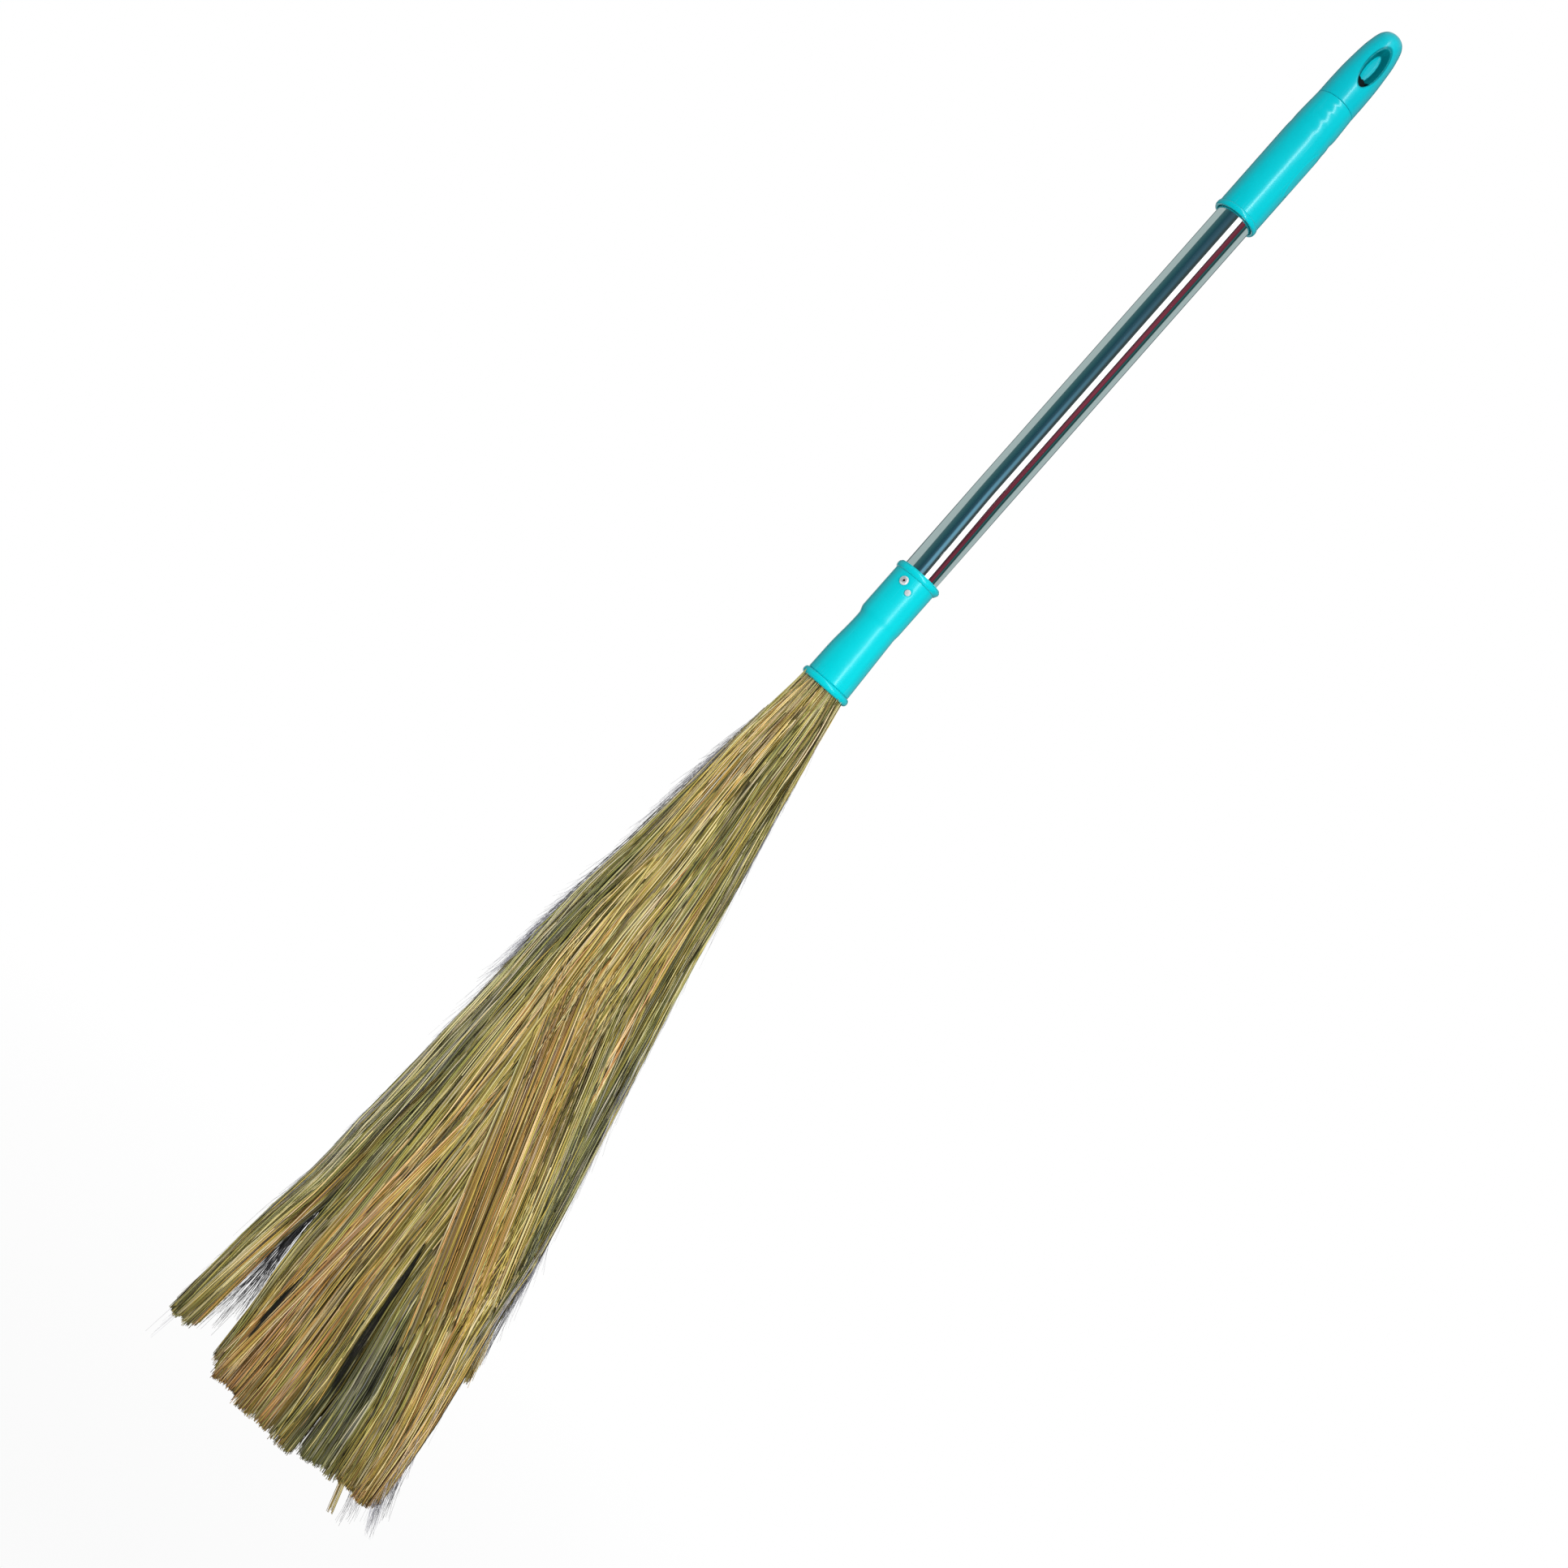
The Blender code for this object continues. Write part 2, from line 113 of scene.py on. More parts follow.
# Name, edges across the neck, edges across the ends, length, body tint and tip tint, all as shares.
# A tint of 0 is grey, 1/3 olive, 2/3 gold and 1 orange.
TUFT_SHARES = (
    ("left_tuft", 0.00, 0.14, 0.004, 0.078, 0.957, 0.46, 0.45),
    ("front_tuft_1", 0.14, 0.23, 0.232, 0.270, 0.962, 0.46, 0.42),
    ("front_tuft_2", 0.23, 0.35, 0.270, 0.373, 0.974, 0.52, 0.84),
    ("front_tuft_3", 0.35, 0.50, 0.373, 0.542, 0.976, 0.56, 0.66),
    ("front_tuft_4", 0.50, 0.59, 0.542, 0.642, 0.978, 0.60, 0.56),
    ("front_tuft_5", 0.59, 0.71, 0.664, 0.808, 0.972, 0.58, 0.36),
    ("front_tuft_6", 0.71, 0.81, 0.818, 0.905, 0.968, 0.58, 0.66),
    ("right_tuft", 0.81, 1.00, 0.900, 0.985, 0.974, 0.44, 0.80),
    ("back_tuft_1", 0.14, 0.23, 0.235, 0.285, 0.955, 0.40, 0.40),
    ("back_tuft_2", 0.23, 0.35, 0.275, 0.385, 0.962, 0.50, 0.60),
    ("back_tuft_3", 0.35, 0.50, 0.380, 0.550, 0.965, 0.55, 0.60),
    ("back_tuft_4", 0.50, 0.59, 0.560, 0.655, 0.945, 0.45, 0.30),
    ("back_tuft_5", 0.59, 0.71, 0.655, 0.800, 0.955, 0.50, 0.40),
    ("back_tuft_6", 0.71, 0.81, 0.790, 0.900, 0.962, 0.50, 0.60),
)

# Along the grass, and its left, right and deepest reach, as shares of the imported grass's own reach
FAN_SHARES = (
    (0.000, 0.300, 0.118, 0.590),
    (0.045, 0.345, 0.157, 0.640),
    (0.115, 0.428, 0.212, 0.680),
    (0.185, 0.474, 0.282, 0.710),
    (0.255, 0.535, 0.355, 0.740),
    (0.325, 0.628, 0.410, 0.770),
    (0.395, 0.692, 0.491, 0.800),
    (0.465, 0.698, 0.567, 0.840),
    (0.535, 0.724, 0.642, 0.870),
    (0.605, 0.735, 0.718, 0.900),
    (0.675, 0.793, 0.790, 0.930),
    (0.745, 0.796, 0.816, 0.960),
    (0.815, 0.884, 0.850, 0.980),
    (0.885, 0.908, 0.890, 0.990),
    (0.955, 0.975, 0.950, 1.000),
    (1.000, 1.030, 0.990, 1.000),
)

# Broad tints: middle along and across, reach along and across, change of tint, share of the brightness
TINT_AND_LIGHT_SHARES = (
    (0.52, 0.29, 0.14, 0.08, 0.10, 1.12),
    (0.60, 0.12, 0.14, 0.07, -0.26, 0.90),
    (0.10, 0.28, 0.10, 0.22, 0.12, 1.04),
    (0.20, 0.66, 0.14, 0.10, -0.14, 0.98),
    (0.55, 0.99, 0.35, 0.05, -0.22, 0.84),
    (0.83, 0.08, 0.07, 0.035, 0.30, 1.10),
    (0.93, 0.03, 0.10, 0.09, 0.06, 1.22),
    (0.46, 0.22, 0.12, 0.20, 0.02, 1.12),
    (0.73, 0.12, 0.10, 0.03, 0.14, 0.62),
    (0.05, 0.05, 0.12, 0.16, 0.05, 1.28),
    (0.43, 0.03, 0.10, 0.07, -0.06, 1.25),
    # Painted light: this row brightens the left edge, which faces away from the key light
    (0.50, -0.02, 0.46, 0.09, -0.04, 1.50),
    (0.72, 0.66, 0.12, 0.14, 0.05, 0.84),
    (0.86, 0.70, 0.09, 0.05, -0.28, 0.80),
    (0.86, 0.32, 0.18, 0.05, 0.16, 1.02),
    (0.35, 0.08, 0.20, 0.07, -0.16, 0.96),
    (0.88, 0.50, 0.16, 0.45, 0.03, 0.92),
)

# Streaks and crevices: across and along at the start and the end, share of the width, change of tint,
# share of the brightness. The rows below 1 in brightness are painted shade in the crevices and gaps between
# locks.
STREAK_AND_CREVICE_SHADE_SHARES = (
    (0.790, 0.143, 0.857, 0.516, 0.024, 0.26, 1.20),
    (0.845, 0.250, 0.927, 0.516, 0.015, -0.20, 0.36),
    (0.490, 0.045, 0.480, 0.216, 0.010, -0.10, 0.42),
    (0.385, 0.500, 0.440, 0.620, 0.006, 0.00, 0.55),
    (0.440, 0.610, 0.570, 0.733, 0.007, 0.00, 0.45),
    (0.565, 0.720, 0.603, 0.800, 0.013, -0.20, 0.04),
    (0.598, 0.785, 0.636, 0.900, 0.022, -0.20, 0.03),
    (0.634, 0.880, 0.655, 0.975, 0.018, -0.40, 0.55),
    (0.722, 0.795, 0.780, 0.938, 0.021, -0.25, 0.04),
    (0.270, 0.835, 0.268, 0.920, 0.009, -0.10, 0.10),
    (0.118, 0.680, 0.150, 0.960, 0.014, 0.00, 0.45),
    (0.800, 0.605, 0.822, 0.640, 0.012, 0.00, 0.10),
    (0.885, 0.748, 0.912, 0.785, 0.012, 0.00, 0.10),
    (0.873, 0.855, 0.896, 0.882, 0.012, 0.00, 0.10),
    (0.550, 0.430, 0.640, 0.560, 0.005, 0.00, 0.50),
    (0.230, 0.640, 0.215, 0.760, 0.005, 0.00, 0.50),
    (0.420, 0.660, 0.450, 0.800, 0.005, 0.00, 0.50),
)

# Loose locks, straight from start to end: across at the start and the end, along at the start and the end,
# tint, brightness, share of the width
LOOSE_SHARES = (
    (0.800, 0.975, 0.30, 0.560, 0.34, 0.92, 0.040),
    (0.848, 0.985, 0.40, 0.642, 0.30, 0.88, 0.040),
    (0.820, 0.990, 0.46, 0.700, 0.26, 0.86, 0.040),
    (0.770, 1.000, 0.46, 0.760, 0.50, 0.88, 0.045),
    (0.732, 1.050, 0.46, 0.818, 0.64, 0.88, 0.040),
    (0.670, 1.010, 0.46, 0.835, 0.68, 0.88, 0.050),
    (0.600, 1.005, 0.46, 0.882, 0.74, 0.86, 0.050),
    (0.550, 0.995, 0.46, 0.915, 0.70, 0.86, 0.050),
    (0.506, 0.980, 0.46, 0.935, 0.80, 0.88, 0.050),
    (0.435, 0.970, 0.46, 0.962, 0.82, 0.88, 0.045),
    (0.378, 0.945, 0.46, 0.970, 0.76, 0.88, 0.045),
    (0.350, 0.868, 0.46, 1.004, 0.66, 1.00, 0.026),
    (0.360, 0.900, 0.46, 0.974, 0.72, 0.86, 0.036),
    (0.345, 0.845, 0.47, 0.968, 0.66, 0.86, 0.030),
    (0.020, -0.005, 0.42, 0.720, 0.40, 0.95, 0.012),
    (0.130, 0.085, 0.60, 0.952, 0.74, 0.84, 0.020),
    (0.300, 0.400, 0.30, 0.700, 0.60, 1.05, 0.028),
    (0.220, 0.300, 0.50, 0.900, 0.44, 1.00, 0.024),
    (0.360, 0.270, 0.62, 0.972, 0.76, 1.04, 0.034),
    (0.330, 0.250, 0.66, 0.965, 0.80, 1.00, 0.028),
)

# Bunches of stray hairs: side of the outline, along at the first and the last bunch, bunches, how
# far they stand out
HAIR_SHARES = (
    (-1, 0.07, 0.16, 22, 0.0042),
    (-1, 0.28, 0.41, 28, 0.0050),
    (-1, 0.12, 0.90, 44, 0.0020),
    (1, 0.05, 0.90, 40, 0.0020),
    (1, 0.24, 0.52, 12, 0.0040),
    (-1, 0.72, 0.82, 6, 0.0046),
    (1, 0.60, 0.82, 12, 0.0060),
    (1, 0.80, 0.90, 10, 0.0080),
    (1, 0.87, 0.97, 12, 0.0070),
)

# Dark wisps: across at the start and the end, along at the start and the end
WISP_SHARES = (
    (0.125, 0.105, 0.78, 0.962),
    (0.130, 0.150, 0.79, 0.955),
    (0.135, 0.180, 0.80, 0.930),
    (0.600, 0.638, 0.84, 0.976),
    (0.640, 0.650, 0.86, 0.962),
    (0.980, 1.060, 0.62, 0.800),
    (0.960, 1.020, 0.74, 0.900),
    (0.960, 1.000, 0.84, 0.985),
    (0.900, 0.950, 0.88, 1.010),
    (0.985, 1.050, 0.84, 0.985),
    (0.975, 1.035, 0.88, 1.005),
    (0.880, 0.930, 0.90, 1.020),
)

# Cap contour, as shares of its radius and of its height from the lower edge to the tip
CAP_SHARES = (
    (0.000, 1.000),
    (0.263, 0.991),
    (0.482, 0.964),
    (0.642, 0.915),
    (0.730, 0.859),
    (0.788, 0.800),
    (0.861, 0.708),
    (0.927, 0.552),
    (0.978, 0.387),
    (1.000, 0.196),
)

# Hollows on the grip's shoulder: degrees to the right of the front, metres below its top, height in metres
# and share of the depth
SHOULDER_DENTS = (
    (100, 0.0215, 0.0030, 1.00),
    (96, 0.0285, 0.0035, 0.50),
    (-92, 0.0235, 0.0030, 0.35),
    (4, 0.0035, 0.0014, 0.30),
    (2, 0.0095, 0.0016, 0.32),
    (-2, 0.0165, 0.0022, 0.35),
    (-4, 0.0250, 0.0030, 0.30),
)

PALE = (0.41, 0.51, 0.505)
BRIGHT = (1.0, 1.0, 1.0)
DUSK = (0.06, 0.10, 0.11)

# Studio cards that the gloss shows, from behind over the left, the front and the right: degrees and colour
STUDIO_CARDS = (
    (-180, BRIGHT),
    (-167, BRIGHT),
    (-163, DUSK),
    (-150, DUSK),
    (-146, PALE),
    (-84, PALE),
    (-81, (0.06, 0.135, 0.145)),
    (-62, (0.030, 0.105, 0.120)),
    (-44, (0.016, 0.066, 0.090)),
    (-30, (0.035, 0.090, 0.125)),
    (-18, (0.045, 0.110, 0.150)),
    (-8, (0.045, 0.090, 0.110)),
    (-3, (0.040, 0.065, 0.070)),
    (8, (0.06, 0.08, 0.08)),
    (11.5, BRIGHT),
    (37, BRIGHT),
    (40, (0.02, 0.03, 0.035)),
    (46, (0.10, 0.025, 0.035)),
    (58, (0.17, 0.03, 0.05)),
    (70, (0.12, 0.02, 0.035)),
    (75, (0.02, 0.10, 0.10)),
    (81, (0.03, 0.14, 0.14)),
    (85, (0.015, 0.03, 0.035)),
    (93, (0.03, 0.10, 0.10)),
    (98, PALE),
    (146, PALE),
    (150, DUSK),
    (163, DUSK),
    (167, BRIGHT),
    (180, BRIGHT),
)


def linear(red, green, blue):
    """Turns a screen colour of 0 to 255 a channel into the linear colour that shaders use."""
    shares = (red / 255, green / 255, blue / 255)
    return tuple(c / 12.92 if c <= 0.04045 else ((c + 0.055) / 1.055) ** 2.4 for c in shares)


def size_property(label, text, value):
    kind = {"unit": "LENGTH", "subtype": "DISTANCE", "precision": 5}
    return FloatProperty(name=label, description=text, default=value, **kind)


def angle_property(label, text, degrees):
    return FloatProperty(name=label, description=text, default=math.radians(degrees), subtype="ANGLE")


def share_property(label, text, value):
    return FloatProperty(name=label, description=text, default=value, min=0.0, soft_max=1.0, subtype="FACTOR")


def colour_property(label, text, *screen):
    return FloatVectorProperty(name=label, description=text, default=linear(*screen), size=3, subtype="COLOR")


def count_property(label, text, value):
    return IntProperty(name=label, description=text, default=value, min=1)


def amount_property(label, text, value, unit="NONE"):
    return FloatProperty(name=label, description=text, default=value, unit=unit)


class HandleSettings(bpy.types.PropertyGroup):
    cap_colour: colour_property("Cap", "Colour of the hanging cap", 0, 196, 210)
    grip_colour: colour_property("Grip", "Colour of the grip sleeve", 0, 203, 215)
    ferrule_colour: colour_property("Ferrule", "Colour of the ferrule", 0, 216, 226)
    steel_colour: colour_property("Steel", "Colour of the polished tube", 236, 238, 238)
    plastic_roughness: share_property("Plastic roughness", "Roughness of the moulded plastic", 0.23)
    seat_gap: size_property("Seat gap", "Room between two pieces that touch", 0.0003)
    edge_round: size_property("Edge round", "Radius of the plastic's moulded edges", 0.0005)
    skin: size_property("Cap skin", "Wall of the cap round the tube", 0.0009)
    eye_width: size_property("Eye width", "Width of the eye's mouth", 0.0128)
    eye_height: size_property("Eye height", "Height of the eye's mouth", 0.0308)
    eye_turn: angle_property("Eye turn", "Turn of the eye to the right of the front", 14)
    web_front: size_property("Web front", "Distance from the axis to the web's front", 0.005)
    web_thickness: size_property("Web thickness", "Thickness of the web in the eye", 0.0016)
    web_width: size_property("Web width", "Width of the web", 0.0064)
    web_height: size_property("Web height", "Height of the web", 0.02)
    web_line: size_property("Web line", "Radius of the raised line round the web", 0.0003)
    # Painted shade: how much colour the eye's walls keep, darkened as if the recess shaded them
    painted_recess_shade: share_property("Recess shade", "Depth of colour left on the walls of the eye", 0.45)
    seam_overlap: size_property("Seam overlap", "How far the cap reaches down into the seam", 0.0002)
    cap_voxel: size_property("Cap voxel", "Grid size that rounds the cap's cut edges", 0.0004)
    tube_wall: size_property("Tube wall", "Wall of the steel tube", 0.0006)
    grip_shoulder: size_property("Grip shoulder", "Height of the grip's tapered shoulder", 0.021)
    grip_lip_height: size_property("Grip lip height", "Height of the rolled lip at the grip's mouth", 0.0038)
    grip_lip_rim: size_property("Grip lip rim", "How far the rolled lip stands out", 0.0007)
    panel_turn: angle_property("Panel turn", "Turn of the raised panel to the right of the front", 62)
    panel_drop: size_property("Panel drop", "Distance from the grip's top to the panel's middle", 0.0485)
    panel_height: size_property("Panel height", "Height of the raised panel", 0.0330)
    panel_width: size_property("Panel width", "Width of the raised panel", 0.0080)
    panel_rise: size_property("Panel rise", "How far the panel's rim stands out", 0.00028)
    dent_depth: size_property("Dent depth", "Depth of the deepest hollow on the grip's shoulder", 0.0006)
    # Painted shade: between these two the top of the tube inside the cap turns nearly black and dull
    shaded_end_from: size_property("Torn from", "Distance from the tube's top to where its dull end starts", 0.0085)
    shaded_end_to: size_property("Torn to", "Distance from the tube's top to where its dull end is full", 0.006)
    rough_height: size_property("Rough height", "Height of the uneven stretch at the tube's top", 0.0042)
    burr: size_property("Burr", "Size of the small dents in the tube's cut end", 0.0005)
    end_dip: size_property("End dip", "Depth of the dip in the tube's cut end", 0.0022)


class FerruleSettings(bpy.types.PropertyGroup):
    hold: size_property("Hold", "Length of tube inside the ferrule", 0.041)
    wall: size_property("Wall", "Wall of the upper socket", 0.0021)
    ledge: size_property("Ledge", "Thickness of the ledge that the tube stands on", 0.003)
    ledge_width: size_property("Ledge width", "Width of the ledge", 0.0009)
    top_bead_height: size_property("Top bead height", "Height of the upper bead", 0.0045)
    top_bead_rim: size_property("Top bead rim", "How far the upper bead stands out", 0.0011)
    shoulder_drop: size_property("Shoulder drop", "Height of the slope below the upper socket", 0.0035)
    socket_radius: size_property("Socket radius", "Inner radius at the lower socket's top", 0.0129)
    socket_wall: size_property("Socket wall", "Wall of the lower socket", 0.0016)
    flare: size_property("Flare", "How much the lower socket widens", 0.0014)
    mouth_radius: size_property("Mouth radius", "Inner radius of the mouth", 0.0162)
    mouth_bead_height: size_property("Mouth bead height", "Height of the lower bead", 0.0051)
    mouth_bead_rim: size_property("Mouth bead rim", "How far the lower bead stands out", 0.0019)
    lean: size_property("Lean", "Sideways shift of the mouth", 0.0012)
    butt_recess: size_property("Butt recess", "Depth of the grass's face inside the mouth", 0.0032)
    side_dent: size_property("Side dent", "Depth of the hollow on the left below the upper socket", 0.0011)
    side_bulge: size_property("Side bulge", "How far the upper bead bulges to the right", 0.0009)
    fastener_dent: size_property("Fastener dent", "Depth of the hollows round rivet and nail", 0.00022)
    dent_rise: size_property("Dent rise", "How far up the upper socket the side hollow starts", 0.0045)
    dent_from: size_property("Dent from", "How far below the upper socket the side hollow fades", 0.004)
    dent_to: size_property("Dent to", "How far below the upper socket the side hollow ends", 0.03)
    bulge_rise: size_property("Bulge rise", "Height over which the bead's bulge comes up", 0.003)


class FastenerSettings(bpy.types.PropertyGroup):
    rivet_radius: size_property("Rivet head radius", "Radius of the rivet's head", 0.003)
    rivet_height: size_property("Rivet head height", "Height of the rivet's head", 0.0013)
    rivet_shank: size_property("Rivet shank", "Radius of the rivet's shank", 0.0016)
    rivet_dimple: size_property("Rivet dimple", "Radius of the dimple where the stem broke off", 0.0009)
    rivet_length: size_property("Rivet length", "Length of the rivet below its head", 0.0062)
    rivet_drop: size_property("Rivet drop", "Distance from the ferrule's top to the rivet", 0.0104)
    rivet_turn: angle_property("Rivet turn", "Turn of the rivet from the front", -19.6)
    nail_radius: size_property("Nail head radius", "Radius of the nail's head", 0.002)
    nail_height: size_property("Nail head height", "Height of the nail's head", 0.0006)
    nail_shank: size_property("Nail shank", "Radius of the nail's shank", 0.0009)
    nail_length: size_property("Nail length", "Length of the nail below its head", 0.009)
    nail_drop: size_property("Nail drop", "Distance from the ferrule's top to the nail", 0.0148)
    nail_turn: angle_property("Nail turn", "Turn of the nail from the front", 5.8)
    metal_colour: colour_property("Fastener metal", "Colour of the rivet and the nail", 225, 226, 228)


class GrassSettings(bpy.types.PropertyGroup):
    fibres: count_property("Fibres", "Long grass fibres in all", 15000)
    surface_fibres: count_property("Surface fibres", "Short fibres in the outer locks", 6200)
    # Painted shade and glints: short nearly black fibres stand for dark gaps, pale ones for glints
    short_fibres: count_property("Short fibres", "Short dark and pale fibres on one side", 1000)
    steps: count_property("Steps", "Points along a fibre", 11)
    mark_steps: count_property("Mark steps", "Points along a short or a dark fibre", 6)
    locks: count_property("Locks", "Locks of long fibres in all", 260)
    loose_fibres: count_property("Loose fibres", "Fibres in a loose lock as wide as the head", 3200)
    # Painted shade: nearly black fibres that fill the crevices
    crevice_shade_fibres: count_property("Crevice fibres", "Fibres in a crevice as wide as the head", 2800)
    lock_size: count_property("Lock size", "Fibres in an outer lock", 8)
    seed: count_property("Seed", "Start of the random draws", 7)
    width: size_property("Fibre width", "Width of a fibre at its widest", 0.00074)
    wander: size_property("Fibre wander", "How far a fibre strays from its strand", 0.0005)
    strand_width: size_property("Strand width", "Spread of the fibres within a strand", 0.0006)
    lock_wander: size_property("Lock wander", "How far a lock strays from its tuft", 0.0009)
    lock_slant: size_property("Lock slant", "Shift of an outer lock over the grass's length", 0.014)
    lock_lift: size_property("Lock lift", "How far an outer lock stands out", 0.0006)
    ragged: size_property("Ragged ends", "Spread of the fibres' ends along the broom", 0.0026)
    gather: share_property("Gather", "How tightly a lock draws together", 0.15)
    part_at: share_property("Part at", "Where the tufts part, along the grass", 0.70)
    depth_shade: share_property("Depth shade", "Brightness of the innermost grass", 0.32)
    hair_width: size_property("Hair width", "Width of a stray hair", 0.00028)
    hair_bunch: count_property("Hair bunch", "Hairs in a bunch", 5)
    wisps: count_property("Wisps", "Thin fibres in each wisp", 22)
    root_depth: size_property("Root depth", "How far inside the ferrule's mouth the fibres start", 0.003)
    splay: size_property("Splay", "Spread of the long fibres at their ends", 0.0014)
    lock_spread: size_property("Lock spread", "Spread of the fibres within an outer lock", 0.0024)
    lift_spread: size_property("Lift spread", "Spread of how far outer fibres stand out", 0.0006)
    edge_spread: size_property("Edge spread", "How far outer fibres reach past the outline", 0.0005)
    loose_spread: size_property("Loose spread", "Spread of a loose lock's fibres in depth", 0.001)
    hair_stand: size_property("Hair stand", "Spread of how far the hairs of a bunch stand out", 0.001)
    hair_curl: size_property("Hair curl", "How far a stray hair bends sideways", 0.0009)
    wisp_bow: size_property("Wisp bow", "How far a wisp's fibre bends sideways", 0.0012)
    grey: colour_property("Grey", "Colour of the greyest grass", 120, 123, 112)
    olive: colour_property("Olive", "Colour of the olive grass", 162, 162, 92)
    gold: colour_property("Gold", "Colour of the golden grass", 206, 182, 92)
    orange: colour_property("Orange", "Colour of the orange grass", 210, 152, 88)
    faded: colour_property("Faded", "Colour of the faded fibres", 168, 154, 148)
    pale: colour_property("Pale", "Colour of the palest fibres", 244, 232, 196)
    hair_colour: colour_property("Hair", "Colour of the stray hairs", 218, 218, 228)


class StageSettings(bpy.types.PropertyGroup):
    aim_right: size_property("Aim right", "Where the view's centre lies to the right of the handle", 0.0223)
    aim_down: size_property("Aim down", "Where the view's centre lies below the eye", 0.588)
    distance: size_property("Distance", "Distance from the camera to the handle", 1.31)
    lens: amount_property("Lens", "Focal length on a 36 mm frame", 48.34, "CAMERA")
    roll: angle_property("Roll", "How far the handle leans to the right in the picture", 41.445)
    floor_drop: size_property("Floor drop", "Distance from the grass's ends to the floor", 0.3)
    wrap_radius: size_property("Wrap radius", "Radius of the studio cards round the broom", 1.7)
    sky_level: share_property("Sky level", "Brightness of the even studio light", 0.82)
    key_power: amount_property("Key power", "Power of the key light", 28.0, "POWER")
    key_turn: angle_property("Key turn", "Turn of the key light to the right of the front", 24)
    key_rise: size_property("Key rise", "Height of the key light above the view's centre", 0.35)
    key_width: size_property("Key width", "Width of the key light", 1.5)
    key_length: size_property("Key length", "Length of the key light", 2.4)
    lamp_distance: size_property("Lamp distance", "Distance from the handle to both lights", 2.2)
    card_level: amount_property("Card level", "Brightness of the white strip card", 2.0)
    streak_power: amount_property("Streak power", "Power of the light that the plastic shows", 120.0, "POWER")
    streak_turn: angle_property("Streak turn", "Turn of the strip light to the right of the front", 16)
    streak_lean: angle_property("Streak lean", "How far the strip light leans to the left", 29)
    streak_rise: size_property("Streak rise", "Height of the strip light above the eye", 0.75)
    streak_width: size_property("Streak width", "Width of the strip light", 0.16)
    streak_length: size_property("Streak length", "Length of the strip light", 3.4)


class BroomSettings(bpy.types.PropertyGroup):
    handle: PointerProperty(type=HandleSettings)
    ferrule: PointerProperty(type=FerruleSettings)
    fasteners: PointerProperty(type=FastenerSettings)
    grass: PointerProperty(type=GrassSettings)
    stage: PointerProperty(type=StageSettings)


def between(low, high, share):
    return low + (high - low) * share


def smooth_step(low, high, value):
    share = np.clip((value - low) / (high - low), 0.0, 1.0)
    return share * share * (3 - 2 * share)


def reach_of(node):
    """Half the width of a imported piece, and the heights of its lower and upper end."""
    low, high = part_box(node)
    return (high.x - low.x) / 2, low.z, high.z


def add_piece(name, mesh, finish, nodes):
    """Links a mesh as a piece of the broom that stands for the given nodes."""
    piece = bpy.data.objects.new(name, mesh)
    bpy.context.scene.collection.objects.link(piece)
    piece.data.materials.clear()
    piece.data.materials.append(finish)
    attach(piece, BODY)
    if nodes:
        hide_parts(*nodes)


def rounded(corners, steps=5):
    """Rounds each (radius, height, fillet) corner of an open outline and gives (radius, height) points."""
    points = [Vector(corners[0][:2])]
    for before, corner, after in zip(corners, corners[1:], corners[2:]):
        here = Vector(corner[:2])
        back = Vector(before[:2]) - here
        on = Vector(after[:2]) - here
        reach = min(corner[2], back.length / 2, on.length / 2)
        if reach == 0.0:
            points.append(here)
            continue
        start = here + back.normalized() * reach
        end = here + on.normalized() * reach
        for step in range(steps + 1):
            share = step / steps
            points.append(start.lerp(here, share).lerp(here.lerp(end, share), share))
    points.append(Vector(corners[-1][:2]))
    return [tuple(point) for point in points]


def smooth_outline(points, steps=6):
    """Runs a smooth curve through (radius, height) points."""
    places = [Vector(point) for point in points]
    ends = [places[0] * 2 - places[1]] + places + [places[-1] * 2 - places[-2]]
    curve = []
    for a, b, c, d in zip(ends, ends[1:], ends[2:], ends[3:]):
        for step in range(steps):
            t = step / steps
            bend = (a * 2 - b * 5 + c * 4 - d) * t * t + (b * 3 - a - c * 3 + d) * t * t * t
            curve.append(tuple((b * 2 + (c - a) * t + bend) / 2))
    curve.append(tuple(places[-1]))
    return [(max(radius, 0.0), height) for radius, height in curve]


def mesh_of(work, name, outward=True):
    """Ends a bmesh as a mesh, with its faces turned outward if asked."""
    if outward:
        bmesh.ops.recalc_face_normals(work, faces=work.faces)
    mesh = bpy.data.meshes.new(name)
    work.to_mesh(mesh)
    work.free()
    return mesh


def turned(name, outline, sides, closed=True):
    """Spins (radius, height) points round Z. An open outline starts and ends on the axis."""
    work = bmesh.new()
    corners = [work.verts.new((radius, 0, height)) for radius, height in outline]
    pairs = list(zip(corners, corners[1:]))
    if closed:
        pairs.append((corners[-1], corners[0]))
    edges = [work.edges.new(pair) for pair in pairs]
    around = {"axis": (0, 0, 1), "cent": (0, 0, 0), "angle": math.tau, "steps": sides}
    bmesh.ops.spin(work, geom=corners + edges, use_merge=True, **around)
    bmesh.ops.remove_doubles(work, verts=work.verts, dist=MERGE_DISTANCE)
    mesh = mesh_of(work, name)
    mesh.shade_smooth()
    mesh.set_sharp_from_angle(angle=SHARP_ANGLE)
    return mesh


def reshape(mesh, move):
    """Passes all the mesh's corners through move, which takes and gives an array of places."""
    places = np.empty(len(mesh.vertices) * 3)
    mesh.vertices.foreach_get("co", places)
    mesh.vertices.foreach_set("co", move(places.reshape(-1, 3)).ravel())
    mesh.update()


